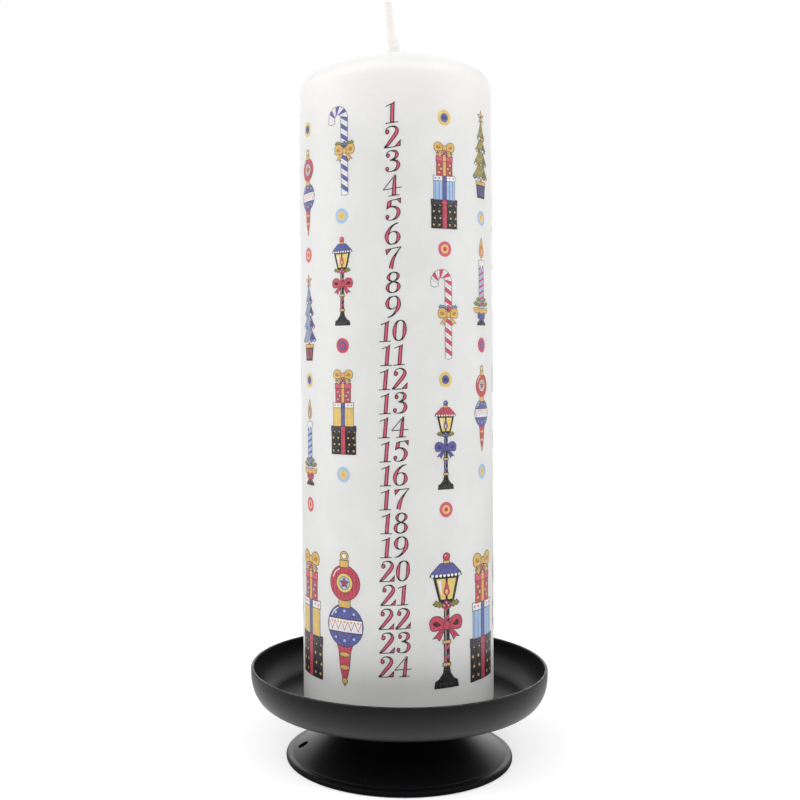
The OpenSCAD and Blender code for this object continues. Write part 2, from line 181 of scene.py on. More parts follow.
# light: a soft box at each side, three high ones round the front, a weak one behind, and a dim pale room
lightSetup = {"room": 0.14, "behindLens": 0.2, "aim": (0, 0, 0.12),
              "boxes": {"leftBox": {"at": (-0.8, -0.1, 0.3), "size": (0.5, 0.9), "power": 1.9},
                        "rightBox": {"at": (0.8, -0.1, 0.3), "size": (0.5, 0.9), "power": 1.5},
                        "highLeftBox": {"at": (-0.7, -0.4, 0.9), "size": (0.6, 0.9), "power": 5.4},
                        "highRightBox": {"at": (0.7, -0.4, 0.9), "size": (0.6, 0.9), "power": 5.3},
                        "highFrontBox": {"at": (0.0, -0.8, 0.9), "size": (0.9, 0.6), "power": 3.4},
                        "backBox": {"at": (0.0, 1.1, 0.4), "size": (0.9, 0.6), "power": 1.7}}}


def setLights(s):
    for name, box in s["boxes"].items():
        data = bpy.data.lights.new(name, "AREA")
        data.shape = "RECTANGLE"
        data.size, data.size_y = box["size"]
        data.energy = box["power"]
        lamp = newObject(name, data)
        lamp.location = box["at"]
        aim = Vector(s["aim"]) - lamp.location
        lamp.rotation_euler = aim.to_track_quat("-Z", "Y").to_euler()
    world = bpy.data.worlds.new("paleRoom")
    bpy.context.scene.world = world
    world.use_nodes = True
    tree = world.node_tree
    tree.nodes.clear()
    # gloss sees a room that is darker behind the lens
    way = node(tree, "TexCoord").outputs["Generated"]
    depth = node(tree, "SeparateXYZ", {0: way}).outputs["Y"]
    lens = node(tree, "LightPath").outputs["Is Camera Ray"]
    whiteness = maths(tree, "MAXIMUM", lens, ramped(tree, depth, -0.7, 0.2, s["behindLens"], 1.0))
    gathered = node(tree, "Background", {"Color": (1, 1, 1, 1), "Strength": s["room"]})
    seen = node(tree, "Background", {"Color": (1, 1, 1, 1), "Strength": whiteness})
    mix = node(tree, "MixShader", {0: seenDirectly(tree), 1: gathered.outputs[0], 2: seen.outputs[0]})
    node(tree, "OutputWorld", {0: mix.outputs[0]})
    bpy.context.scene.view_settings.view_transform = "Standard"


setLights(lightSetup)


# table: white paper that keeps the shadow near the foot and fades to plain white further out
tableSetup = {"radius": 900, "paper": "f0f0f0", "glow": 0.45, "fadeFrom": 90, "fadeTo": 330, "grain": 0.6,
              "underFoot": 36, "shade": (42, 62), "farInGloss": 0.6}


def layTable(s):
    bm = bmesh.new()
    bmesh.ops.create_circle(bm, cap_ends=True, segments=96, radius=s["radius"] * mm)
    mesh = meshFrom(bm, "tableTop")
    table = newObject("tableTop", mesh)
    material = bpy.data.materials.new("whitePaper")
    material.use_nodes = True
    tree = material.node_tree
    tree.nodes.clear()
    place = millimetres(tree)
    fibre = node(tree, "Bump", {"Height": noiseOf(tree, place, s["grain"]), "Distance": 0.02 * mm})
    paper = node(tree, "BsdfPrincipled", {"Base Color": tone(s["paper"]), "Roughness": 0.8,
                                          "Specular IOR Level": 0.2, "Normal": fibre.outputs[0]})
    # the lens sees the glow all round the foot, gloss only beyond the pan's shade
    lens = node(tree, "LightPath").outputs["Is Camera Ray"]
    distance = lengthOf(tree, place)
    roundFoot = times(tree, lens, ramped(tree, distance, s["underFoot"], s["underFoot"] + 1))
    glowing = maths(tree, "MAXIMUM", roundFoot, ramped(tree, distance, *s["shade"]))
    glow = node(tree, "Emission", {"Strength": times(tree, glowing, s["glow"])})
    near = node(tree, "AddShader", {0: paper.outputs[0], 1: glow.outputs[0]})
    far = node(tree, "Emission", {"Strength": ramped(tree, lens, 0, 1, s["farInGloss"], 1.0)})
    fade = ramped(tree, distance, s["fadeFrom"], s["fadeTo"])
    nearOrFar = node(tree, "MixShader", {0: fade, 1: near.outputs[0], 2: far.outputs[0]})
    surface = node(tree, "MixShader", {0: seenDirectly(tree), 1: paper.outputs[0],
                                       2: nearOrFar.outputs[0]})
    node(tree, "OutputMaterial", {"Surface": surface.outputs[0]})
    mesh.materials.append(material)


layTable(tableSetup)
print("camera, lights and table set")


# surface effects, each a node group that is placed in a material with its own values
def newGroup(name, inputs, outputs=("Color", "Roughness", "Height")):
    group = bpy.data.node_groups.new(name, "ShaderNodeTree")
    for label, value in inputs.items():
        kind = "NodeSocketColor" if isinstance(value, list) else "NodeSocketFloat"
        group.interface.new_socket(label, in_out="INPUT", socket_type=kind).default_value = value
    for label in outputs:
        kind = "NodeSocketColor" if label == "Color" else "NodeSocketFloat"
        group.interface.new_socket(label, in_out="OUTPUT", socket_type=kind)
    return group, group.nodes.new("NodeGroupInput").outputs


def giveOut(group, **values):
    result = group.nodes.new("NodeGroupOutput").inputs
    for label, value in values.items():
        group.links.new(value, result[label])
    return group


def shaded(tree, colour, value):
    return node(tree, "HueSaturation", {"Value": value, "Color": colour}).outputs[0]


def makeWaxBloom():
    # cloudy patches, fine grain and a few pinholes of cast wax; paler and warmer just below a crown as a
    # painted highlight
    group, given = newGroup("waxBloom", {
        "Color": tone("f0f0ec"), "Bloom Color": tone("ffffff"), "Bloom": 0.5, "Patch Size": 14.0,
        "Grain Size": 0.5, "Crown Highlight Color": tone("f9f5f1"), "Crown": 1000.0, "Crown Depth": 19.0,
        "Crown Fade": 4.0, "Roughness": 0.4})
    place = millimetres(group)
    height = heightOf(group, place)
    cloud = noiseOf(group, place, given["Patch Size"], 3)
    grain = noiseOf(group, place, given["Grain Size"], 2)
    holes = node(group, "TexVoronoi", {"Vector": place, "Scale": 0.16}).outputs["Distance"]
    pinhole = ramped(group, holes, 0.012, 0.03, 1, 0)
    bloom = times(group, ramped(group, cloud, 0.4, 0.65), given["Bloom"])
    crownFrom = minus(group, given["Crown"], given["Crown Depth"])
    crownTo = plus(group, given["Crown"], given["Crown Fade"])
    # painted highlight: a band below the crown is blended towards a paler colour
    crown = times(group, ramped(group, height, crownFrom, given["Crown"]),
                  ramped(group, height, given["Crown"], crownTo, 1, 0))
    clouded = blended(group, bloom, given["Color"], given["Bloom Color"])
    clouded = blended(group, crown, clouded, given["Crown Highlight Color"])
    bumps = plus(group, times(group, cloud, 0.6), times(group, grain, 0.12))
    return giveOut(group, Color=shaded(group, clouded, varied(group, grain, 0.985, 1.015)),
                   Roughness=plus(group, given["Roughness"], varied(group, cloud, -0.05, 0.07)),
                   Height=minus(group, bumps, times(group, pinhole, 0.5)))


def makePowderCoat():
    # orange peel, fine grit, specks of dust and a lip lightened, partly rubbed wear and partly a painted
    # highlight;
    # its gloss changes upwards and is missing inside a radius
    group, given = newGroup("powderCoat", {
        "Color": tone("17171a"), "Dust Color": tone("8c8c90"), "Dust": 0.5, "Rub And Highlight Color": tone("3c3c40"),
        "Rub Top": 32.0, "Rub Depth": 0.5, "Peel Size": 1.1, "Roughness": 0.4, "Gloss From": 0.0,
        "Gloss To": 1.0, "Gloss Low": 0.3, "Gloss High": 0.3, "Dull Radius": -1.0},
        ("Color", "Roughness", "Height", "Gloss"))
    place = millimetres(group)
    height = heightOf(group, place)
    peel = noiseOf(group, place, given["Peel Size"], 1)
    grit = noiseOf(group, place, 0.2, 2)
    cells = node(group, "TexVoronoi", {"Vector": place, "Scale": 0.22})
    picked = ramped(group, node(group, "SeparateColor", {0: cells.outputs["Color"]}).outputs[0], 0.55, 0.6)
    speck = times(group, ramped(group, cells.outputs["Distance"], 0.02, 0.035, 1, 0), picked)
    speck = times(group, speck, given["Dust"])
    # the lightened edge is partly rubbed wear and partly a painted highlight
    rubFrom = minus(group, given["Rub Top"], given["Rub Depth"])
    edge = ramped(group, height, rubFrom, given["Rub Top"])
    rubAndHighlight = times(group, edge, ramped(group, noiseOf(group, place, 2.4), 0.42, 0.6))
    base = shaded(group, given["Color"], varied(group, noiseOf(group, place, 9.0), 0.9, 1.1))
    colour = blended(group, speck, blended(group, rubAndHighlight, base, given["Rub And Highlight Color"]), given["Dust Color"])
    spread = plus(group, varied(group, grit, -0.04, 0.05), times(group, rubAndHighlight, -0.1))
    gloss = ramped(group, height, given["Gloss From"], given["Gloss To"], given["Gloss Low"],
                   given["Gloss High"])
    radius = lengthOf(group, vectorMaths(group, "MULTIPLY", place, (1, 1, 0)).outputs[0])
    dullTo = plus(group, given["Dull Radius"], 1)
    bumps = plus(group, peel, times(group, grit, 0.15))
    return giveOut(group, Color=colour, Roughness=plus(group, given["Roughness"], spread),
                   Gloss=times(group, gloss, ramped(group, radius, given["Dull Radius"], dullTo)),
                   Height=plus(group, bumps, times(group, speck, 0.8)))


def makePrintedInk():
    # a waterslide print: uneven ink, a fine screen and small thin places
    group, given = newGroup("printedInk", {
        "Color": tone("c8465a"), "Thin Color": tone("f0f0ec"), "Thin": 0.25, "Screen Size": 0.25,
        "Roughness": 0.4})
    place = millimetres(group)
    screen = noiseOf(group, place, given["Screen Size"], 1)
    wash = noiseOf(group, place, 2.2, 2)
    toned = shaded(group, given["Color"], varied(group, wash, 0.93, 1.07))
    worn = times(group, ramped(group, screen, 0.6, 0.72), given["Thin"])
    return giveOut(group, Color=blended(group, worn, toned, given["Thin Color"]),
                   Roughness=plus(group, given["Roughness"], varied(group, wash, -0.04, 0.06)),
                   Height=screen)


def makeWaxedYarn():
    # cotton fibres along the wick under wax, darker at the cut end, lost in the wax at the root
    group, given = newGroup("waxedYarn", {
        "Color": tone("fbf8f5"), "Groove Color": tone("f0ebe5"), "End Color": tone("d5cdbf"),
        "End Top": 257.0, "End Depth": 0.9, "Root Color": tone("f2f2ef"), "Root": 240.0, "Root Depth": 1.8,
        "Fibre Size": 0.12, "Roughness": 0.5})
    place = millimetres(group)
    upright = heightOf(group, place)
    fibres = noiseOf(group, millimetres(group, (1, 1, 0.12)), given["Fibre Size"], 3)
    lumps = noiseOf(group, place, 1.6, 2)
    yarn = blended(group, ramped(group, fibres, 0.62, 0.4), given["Color"], given["Groove Color"])
    endFrom = minus(group, given["End Top"], given["End Depth"])
    end = times(group, ramped(group, upright, endFrom, given["End Top"]), 0.8)
    root = ramped(group, upright, given["Root"], plus(group, given["Root"], given["Root Depth"]), 1, 0)
    colour = blended(group, root, blended(group, end, yarn, given["End Color"]), given["Root Color"])
    return giveOut(group, Color=colour,
                   Roughness=plus(group, given["Roughness"], varied(group, lumps, -0.08, 0.1)),
                   Height=plus(group, times(group, fibres, 0.5), lumps))


def makeRolledMetal():
    # fine lines of a drawn or rolled metal with dull stains
    group, given = newGroup("rolledMetal", {
        "Color": tone("b4b5b8"), "Stain Color": tone("7d7b76"), "Stain": 0.4, "Line Size": 0.15,
        "Roughness": 0.35})
    lines = noiseOf(group, millimetres(group, (0.05, 1, 1)), given["Line Size"], 2)
    dull = noiseOf(group, millimetres(group), 3.0, 3)
    stain = times(group, ramped(group, dull, 0.5, 0.7), given["Stain"])
    spread = plus(group, varied(group, lines, -0.06, 0.08), times(group, stain, 0.3))
    return giveOut(group, Color=blended(group, stain, given["Color"], given["Stain Color"]),
                   Roughness=plus(group, given["Roughness"], spread), Height=lines)


waxBloom = makeWaxBloom()
powderCoat = makePowderCoat()
printedInk = makePrintedInk()
waxedYarn = makeWaxedYarn()
rolledMetal = makeRolledMetal()


def newMaterial(name, group, relief, groupValues, shaderValues, inkLayer=None):
    material = bpy.data.materials.new(name)
    material.use_nodes = True
    tree = material.node_tree
    tree.nodes.clear()
    effect = tree.nodes.new("ShaderNodeGroup")
    effect.node_tree = group
    for key, value in groupValues.items():
        effect.inputs[key].default_value = value
    if inkLayer:
        ink = node(tree, "VertexColor", layer_name=inkLayer).outputs["Color"]
        tree.links.new(ink, effect.inputs["Color"])
    bump = node(tree, "Bump", {"Height": effect.outputs["Height"], "Distance": relief * mm})
    shader = node(tree, "BsdfPrincipled", {"Base Color": effect.outputs["Color"],
                                           "Roughness": effect.outputs["Roughness"],
                                           "Normal": bump.outputs[0], **shaderValues})
    if "Gloss" in effect.outputs:
        tree.links.new(effect.outputs["Gloss"], shader.inputs["Coat Weight"])
    node(tree, "OutputMaterial", {"Surface": shader.outputs[0]})
    return material


# the pan's lip is lightened, partly rubbed wear and partly a painted highlight
panFinish = newMaterial("panPowder", powderCoat, 0.03, {
    "Color": tone("101013"), "Dust": 0.35, "Rub Top": panHigh.z, "Rub Depth": 0.35, "Gloss From": 22.5,
    "Gloss To": 30.5, "Gloss Low": 0.48, "Gloss High": 0.0, "Dull Radius": 43.0},
    {"Specular IOR Level": 0.18, "Coat Roughness": 0.4})
footFinish = newMaterial("footPowder", powderCoat, 0.03, {
    "Color": tone("0f0f11"), "Dust": 0.6, "Rub Top": 0.0, "Rub Depth": -0.5, "Roughness": 0.36,
    "Gloss From": 1.75, "Gloss To": 2.09, "Gloss Low": 0.0, "Gloss High": 0.5},
    {"Specular IOR Level": 0.04, "Coat Roughness": 0.36})
# the coat's wax is painted paler in a band below the crown as a highlight
coatFinish = newMaterial("coatWax", waxBloom, 0.03, {
    "Color": tone("e9e9e6"), "Bloom Color": tone("f2f2ef"), "Bloom": 0.5, "Crown": rootZ - 14.5,
    "Roughness": 0.38},
    {"IOR": 1.44, "Subsurface Weight": 0.35, "Subsurface Radius": (1.0, 0.95, 0.85),
     "Subsurface Scale": 2.5 * mm})
coreFinish = newMaterial("coreWax", waxBloom, 0.12, {
    "Color": tone("ece7da"), "Bloom Color": tone("f5f1e6"), "Bloom": 0.7, "Patch Size": 3.0,
    "Grain Size": 0.9, "Roughness": 0.6}, {"IOR": 1.44})
wickFinish = newMaterial("wickCotton", waxedYarn, 0.05, {"End Top": wickHigh.z, "Root": rootZ},
                         {"IOR": 1.44})
rivetFinish = newMaterial("rivetSteel", rolledMetal, 0.01, {"Color": tone("a9aaac")}, {"Metallic": 1.0})
tabFinish = newMaterial("tabTin", rolledMetal, 0.01, {"Color": tone("c8c9cb"), "Stain": 0.25},
                        {"Metallic": 1.0})
numberFinish = newMaterial("numberInk", printedInk, 0.01, {"Thin": 0.2}, {"IOR": 1.46}, "inkColor")
motifFinish = newMaterial("motifInk", printedInk, 0.01, {"Thin": 0.25}, {"IOR": 1.46}, "inkColor")
for nodeName, finish in (("rivet", rivetFinish), ("candle_core", coreFinish), ("wick_tab", tabFinish)):
    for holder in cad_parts[nodeName].material_slots:
        holder.material = finish
print("finishes made")


def addPiece(mesh, body, slotName, finish, *replaced):
    mesh.shade_smooth()
    mesh.set_sharp_from_angle(angle=creaseAngle)
    mesh.materials.append(finish)
    piece = newObject(mesh.name, mesh)
    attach(piece, body)
    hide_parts(*replaced)
    return piece


def around(angle, radius, z):
    # a point at a bearing from the front towards the right
    return Vector((radius * math.sin(angle), -radius * math.cos(angle), z)) * mm


def turned(name, profile, segments=256, warp=None):
    # a closed profile of (radius, height) points turned round the axis
    bm = bmesh.new()
    rings = []
    for radius, z in profile:
        count = segments if radius > 0.001 else 1
        ring = []
        for i in range(count):
            angle = fullTurn * i / segments
            r, h = warp(angle, radius, z) if warp else (radius, z)
            ring.append(bm.verts.new(around(angle, r, h)))
        rings.append(ring)
    for low, high in zip(rings, rings[1:] + rings[:1]):
        for i in range(segments):
            k = i + 1
            corners = [low[i % len(low)], low[k % len(low)], high[k % len(high)], high[i % len(high)]]
            kept = [c for n, c in enumerate(corners) if c not in corners[:n]]
            if len(kept) > 2:
                bm.faces.new(kept)
    bmesh.ops.recalc_face_normals(bm, faces=bm.faces)
    return meshFrom(bm, name)


def steps(low, high, count):
    return [low + (high - low) * i / count for i in range(count + 1)]


def full(x, power):
    # a power that keeps the sign, for curves fuller than an ellipse
    return math.copysign(abs(x) ** power, x)


def arc(x, y, rx, ry, fromDegrees, toDegrees, count):
    return [(x + rx * math.cos(a), y + ry * math.sin(a))
            for a in steps(math.radians(fromDegrees), math.radians(toDegrees), count)]


def smooth(points, count):
    # a curve through points of any number of values
    curve = []
    for i in range(len(points) - 1):
        a, b, c, d = (points[min(max(k, 0), len(points) - 1)] for k in (i - 1, i, i + 1, i + 2))
        for t in steps(0, 1, count)[:-1]:
            curve.append(tuple(0.5 * (2 * q + (r - p) * t + (2 * p - 5 * q + 4 * r - w) * t * t
                                      + (3 * q - p - 3 * r + w) * t ** 3)
                               for p, q, r, w in zip(a, b, c, d)))
    return curve + [tuple(points[-1])]


def looped(points, count):
    # a closed curve through points
    return smooth(points + points[:1], count)[:-1]


# pan and foot share the dimple that takes the rivet's head
dimpleShape = {"hole": 2.0, "flat": 5.1, "depth": 1.15}


def dimple(z, s=dimpleShape):
    return [(s["hole"], z - s["depth"]), (s["flat"], z - s["depth"]), (s["flat"] + s["depth"], z)]


# pan: pressed sheet with a curved wall, an upright edge and a half-round lip
panShape = {"sheet": 1.0, "flare": 8.3, "rise": 11.1, "roundness": 0.87}


def buildPan(s):
    underZ = floorZ - s["sheet"]
    wallZ = underZ + s["rise"]
    wallR = panHigh.x - s["flare"]

    def wall(inset):
        return [(wallR + (s["flare"] - inset) * full(math.cos(a), s["roundness"]),
                 wallZ - (s["rise"] - inset) * full(math.sin(a), s["roundness"]))
                for a in steps(0, math.pi / 2, 40)]

    half = s["sheet"] / 2
    lip = arc(panHigh.x - half, panHigh.z - half, half, half, 180, 0, 14)
    floorRings = [(r, floorZ) for r in steps(12, wallR - 2, 6)]
    profile = (dimple(floorZ) + floorRings + wall(s["sheet"])[::-1] + lip + wall(0)
               + dimple(underZ)[::-1])
    addPiece(turned("pressedPan", profile), "holder", "black_coat", panFinish, "pan")


buildPan(panShape)


# foot: a pressed skirt under a neck, with a small step above its rolled bead and one vent hole
footShape = {"sheet": 1.0, "neck": 17.0, "corner": 2.0, "slope": 27, "bead": 2.6, "beadHeight": 2.1,
             "beadRound": 0.8, "step": (0.7, 0.46), "stepInset": 2.15, "land": 75,
             "vent": 3.8, "ventInset": 2.95, "ventBearing": -83, "drillLength": 6}


def buildFoot(s):
    topZ = floorZ - s["sheet"]

    def bend(radius):
        return arc(s["neck"] - s["corner"], topZ - s["corner"], radius, radius, 90, 6, 12)

    def bead(degrees):
        a = math.radians(degrees)
        return Vector((footHigh.x - s["bead"] / 2 + s["bead"] / 2 * full(math.cos(a), s["beadRound"]),
                       s["beadHeight"] / 2 + s["beadHeight"] / 2 * full(math.sin(a), s["beadRound"])))

    neckTop = Vector((s["neck"], topZ - s["corner"]))
    stepFoot = Vector((footHigh.x - s["stepInset"], s["beadHeight"]))
    edge = stepFoot + Vector((-s["step"][0], s["step"][1]))
    lean = Vector((s["neck"], edge.y + (edge.x - s["neck"]) * math.tan(math.radians(s["slope"]))))

    def skirt(inset):
        points = []
        for t in steps(0, 1, 48):
            at = (1 - t) ** 2 * neckTop + 2 * t * (1 - t) * lean + t * t * edge
            run = ((1 - t) * (lean - neckTop) + t * (edge - lean)).normalized()
            points.append((at.x + inset * run.y, at.y - inset * run.x))
        return points

    outside = skirt(0)
    stepped = smooth([outside[-3], edge, stepFoot, bead(90), bead(70)], 6)[6:-6]
    rolled = [tuple(bead(a)) for a in steps(86, -s["land"] + 15, 40)]
    landing = [(bead(-s["land"]).x, 0.0), (bead(s["land"] - 180).x, 0.0)]
    tucked = [tuple(bead(a)) for a in (-120, -135, -150)]
    profile = (dimple(topZ) + bend(s["corner"]) + outside[:-1] + stepped + rolled + landing + tucked
               + skirt(s["sheet"])[::-1] + bend(s["corner"] - s["sheet"])[::-1]
               + dimple(topZ - s["sheet"])[::-1])
    foot = addPiece(turned("pressedFoot", profile), "holder", "black_coat", footFinish, "foot")
    drillVent(foot, s, edge)


def drillVent(foot, s, edge):
    # a punched hole, square to the skirt
    slope, bearing = math.radians(s["slope"]), math.radians(s["ventBearing"])
    place = around(bearing, edge.x - s["ventInset"], edge.y + s["ventInset"] * math.tan(slope))
    turn = Matrix.Rotation(bearing, 4, "Z") @ Matrix.Rotation(slope, 4, "X")
    radius = s["vent"] / 2 * mm
    bm = bmesh.new()
    bmesh.ops.create_cone(bm, cap_ends=True, segments=40, radius1=radius, radius2=radius,
                          depth=s["drillLength"] * mm, matrix=Matrix.Translation(place) @ turn)
    drill = newObject("ventDrill", meshFrom(bm, "ventDrill"))
    cut = foot.modifiers.new("vent", "BOOLEAN")
    cut.operation = "DIFFERENCE"
    cut.object = drill
    bpy.context.view_layer.update()
    drilled = bpy.data.meshes.new_from_object(foot.evaluated_get(bpy.context.evaluated_depsgraph_get()))
    foot.modifiers.clear()
    foot.data = drilled
    drilled.name = "pressedFoot"
    bpy.data.objects.remove(drill)
    drilled.set_sharp_from_angle(angle=creaseAngle)


buildFoot(footShape)
print("pan and foot pressed")


# wax coat: straight side, rounded shoulder, domed crown and the wax that climbs the wick
coatShape = {"shoulder": 6.4, "crown": 70.0, "climb": 6.5, "climbRise": 2.6, "wick": 1.2, "root": 1.75,
             "foot": 0.6, "ring": 4.0, "dip": 0.05, "dipWaves": 1.3, "dipLength": 30, "dipEdge": 3,
             "hollowTop": 5, "scrapAt": (3.5, -14.0), "scrapWide": 0.55, "scrapHigh": 1.2, "scrapDepth": 3}
crownZ = rootZ - coatShape["climbRise"]
crownCentreZ = crownZ - coatShape["crown"]


def waxDip(angle, z, s=coatShape):
    # the dipped side isn't quite true: it falls short by a few hundredths of a millimetre
    waves = s["dipWaves"]
    place = Vector((waves * math.sin(angle), waves * math.cos(angle), z / s["dipLength"]))
    return s["dip"] * (0.5 + 0.5 * noise.noise(place))


def buildCoat(s):
    shoulderR = candleR - s["shoulder"]
    shoulderZ = crownCentreZ + math.sqrt((s["crown"] - s["shoulder"]) ** 2 - shoulderR ** 2)
    shoulderTurn = math.degrees(math.atan2(shoulderZ - crownCentreZ, shoulderR))

    def cap(inset, endR, count):
        bend, dome = s["shoulder"] - inset, s["crown"] - inset
        endTurn = math.degrees(math.acos(endR / dome))
        return (arc(shoulderR, shoulderZ, bend, bend, 0, shoulderTurn, count)
                + arc(0, crownCentreZ, dome, dome, shoulderTurn, endTurn, count)[1:])

    sideRings = int((shoulderZ - floorZ) / s["ring"])
    side = [(candleR, z) for z in steps(floorZ + s["foot"], shoulderZ, sideRings)]
    edge = arc(candleR - s["foot"], floorZ + s["foot"], s["foot"], s["foot"], -90, 0, 6)
    outer = cap(0, s["climb"], 28)
    startR, startZ = outer[-1]
    climb = [(startR + t * (s["root"] - startR), startZ + t * t * (rootZ - startZ))
             for t in steps(0, 1, 16)]
    inner = cap(candleR - coreR, s["wick"], 10)[::-1]
    profile = edge + side[1:-1] + outer + climb[1:] + [(s["wick"], rootZ)] + inner + [(coreR, floorZ)]

    def warp(angle, radius, z):
        # the hollow that holds the core stays true
        if radius < coreR + 0.01 and z < crownZ - s["hollowTop"]:
            return radius, z
        x, y = radius * math.sin(angle), -radius * math.cos(angle)
        away = math.hypot(x - s["scrapAt"][0], y - s["scrapAt"][1]) / s["scrapWide"]
        scrap = s["scrapHigh"] * math.exp(-away * away) if z > crownZ - s["scrapDepth"] else 0
        onSide = clamped((candleR - radius) / -s["dipEdge"] + 1)
        return radius - onSide * waxDip(angle, z), z + scrap

    addPiece(turned("waxCoat", profile, 320, warp), "candle", "white_wax", coatFinish, "wax_coat")


buildCoat(coatShape)


# wick: left and right edges of the leaning stub by height, where wax has run up its right side
wickShape = {"stations": [(0.0, -1.75, 1.75), (1.0, -1.95, 1.75), (2.4, -2.05, 1.6), (4.4, -2.18, 1.1),
                          (6.4, -2.32, 0.4), (8.4, -2.5, -0.1), (10.3, -2.68, -0.42), (13.5, -2.88, -0.62),
                          (17.0, -3.1, -0.86)],
             "bare": 1.12, "waxFade": 0.35, "braid": 0.1, "pitch": 1.6, "lump": 0.05, "lumpLength": 1.5,
             "around": 44, "hidden": 1.2, "cutRings": [(0.85, 0.08), (0.6, 0.12), (0.3, 0.02)],
             "cutRough": 0.06, "yarns": 9, "yarnRadii": (0.16, 0.07)}


def buildWick(s):
    turns = steps(0, fullTurn, s["around"])[:-1]
    rings = [[(s["hidden"] * math.cos(a), s["hidden"] * math.sin(a), z) for a in turns]
             for z in steps(wickLow.z, rootZ - 1, 60)]
    for rise, left, right in smooth(s["stations"], 16):
        middle, half = (left + right) / 2, (right - left) / 2
        depth = (half + s["bare"]) / 2
        wax = clamped((half - s["bare"]) / s["waxFade"])
        ring = []
        for a in turns:
            plait = max(abs(math.sin(2 * a + s["pitch"] * rise)), abs(math.sin(2 * a - s["pitch"] * rise)))
            lump = s["lump"] * noise.noise(Vector((math.cos(a), math.sin(a), rise / s["lumpLength"])))
            grow = 1 + (1 - wax) * s["braid"] * (plait - 0.8) + lump
            ring.append((middle + half * grow * math.cos(a), depth * grow * math.sin(a), rootZ + rise))
        rings.append(ring)
    rise, left, right = s["stations"][-1]
    middle, half = (left + right) / 2, (right - left) / 2
    for share, up in s["cutRings"]:
        ring = []
        for a in turns:
            rough = s["cutRough"] * noise.noise(Vector((3 * math.cos(a), 3 * math.sin(a), share * 9)))
            ring.append((middle + half * share * math.cos(a), half * share * math.sin(a),
                         rootZ + rise + up + rough))
        rings.append(ring)
    bm = bmesh.new()
    corners = [[bm.verts.new(Vector(p) * mm) for p in ring] for ring in rings]
    for low, high in zip(corners, corners[1:]):
        for i in range(s["around"]):
            k = (i + 1) % s["around"]
            bm.faces.new((low[i], low[k], high[k], high[i]))
    bm.faces.new(corners[0][::-1])
    bm.faces.new(corners[-1])
    for i in range(s["yarns"]):
        # short yarn ends that stand out of the cut
        a = fullTurn * i / s["yarns"]
        reach = half * (0.62 if i % 2 else 0.3)
        at = Vector((middle + reach * math.cos(a), reach * math.sin(a), rootZ + rise)) * mm
        tall = (0.2 + 0.12 * (i * 5 % 3)) * mm
        tilt = Matrix.Rotation(0.3 * math.sin(3 * a), 4, "Y")
        thick, thin = (radius * mm for radius in s["yarnRadii"])
        bmesh.ops.create_cone(bm, cap_ends=True, segments=8, radius1=thick, radius2=thin, depth=2 * tall,
                              matrix=Matrix.Translation(at) @ tilt)
    addPiece(meshFrom(bm, "plaitedWick"), "candle", "waxed_cotton", wickFinish, "wick")


buildWick(wickShape)
print("wax coat and wick made")


# inks of the prints, and the darker ink that shades some of them
inks = {"crimson": "c8465c", "wine": "4c1023", "rose": "d65d77", "violet": "5b5d9f", "indigo": "3d3b78",
        "sky": "a9c3e4", "steel": "7f9cc8", "gold": "dfb568", "amber": "b58538", "lemon": "e6c974",
        "olive": "8f8c42", "moss": "626226", "black": "18171b", "coal": "34323a", "snow": "eceded",
        "mist": "bcbcc4", "line": "2a2026"}
shadeOf = {"crimson": "wine", "violet": "indigo", "gold": "amber", "lemon": "gold"}
filmSetup = {"lift": 0.035, "sunk": 0.02, "cut": 0.8, "longestEdge": 1.4, "wobble": 0.05,
             "wobbleLength": 2.4}


class Drawing:
    # flat shapes in the order in which they are printed, later ones on top
    lineWidth = 0.14
    endWidth = 0.55             # a line's share of its width at its ends

    def __init__(self):
        self.shapes = []

    def fill(self, ink, outline):
        self.shapes.append((ink, evened(outline)))

    def shape(self, ink, outline, edge=lineWidth):
        outline = evened(outline)
        self.shapes.append(("line", widened(outline, edge)))
        self.shapes.append((ink, outline))

    def line(self, points, width=lineWidth, ink="line"):
        last = len(points) - 1
        tapered = [(x, y, width * (self.endWidth if i in (0, last) else 1))
                   for i, (x, y) in enumerate(points)]
        self.shapes.append((ink, ribbon(tapered)))

    def dot(self, ink, x, y, radius, edge=lineWidth):
        self.shape(ink, oval(x, y, radius), edge)


def evened(outline):
    # anticlockwise, without doubled points, with long edges divided
    outline = [p for i, p in enumerate(outline) if math.dist(p, outline[i - 1]) > 0.02]
    area = sum(a[0] * b[1] - b[0] * a[1] for a, b in zip(outline, outline[1:] + outline[:1]))
    if area < 0:
        outline = outline[::-1]
    result = []
    for a, b in zip(outline, outline[1:] + outline[:1]):
        parts = max(1, int(math.dist(a, b) / filmSetup["longestEdge"]))
        dx, dy = b[0] - a[0], b[1] - a[1]
        result += [(a[0] + dx * i / parts, a[1] + dy * i / parts) for i in range(parts)]
    return result


def farFrom(p, outline, least):
    # whether a point keeps a distance from every edge of an outline
    for a, b in zip(outline, outline[1:] + outline[:1]):
        run = Vector(b) - Vector(a)
        share = clamped((Vector(p) - Vector(a)).dot(run) / max(run.dot(run), 1e-9))
        if math.dist(p, Vector(a) + share * run) < least:
            return False
    return True


def widened(outline, by):
    # an anticlockwise outline moved outwards all round, or inwards by a negative distance
    bluntest = 0.5 if by > 0 else 0.3
    result = []
    for i, (x, y) in enumerate(outline):
        before, after = Vector(outline[i - 1]), Vector(outline[(i + 1) % len(outline)])
        come, go = Vector((x, y)) - before, after - Vector((x, y))
        if come.length < 1e-6 or go.length < 1e-6:
            continue
        come.normalize()
        go.normalize()
        out = Vector((come.y + go.y, -come.x - go.x))
        if out.length < 0.2:
            out = Vector((come.y, -come.x))
        out.normalize()
        stretch = by / max(bluntest, out.dot(Vector((come.y, -come.x))))
        result.append((x + out.x * stretch, y + out.y * stretch))
    return [p for p in result if farFrom(p, outline, 0.9 * abs(by))]


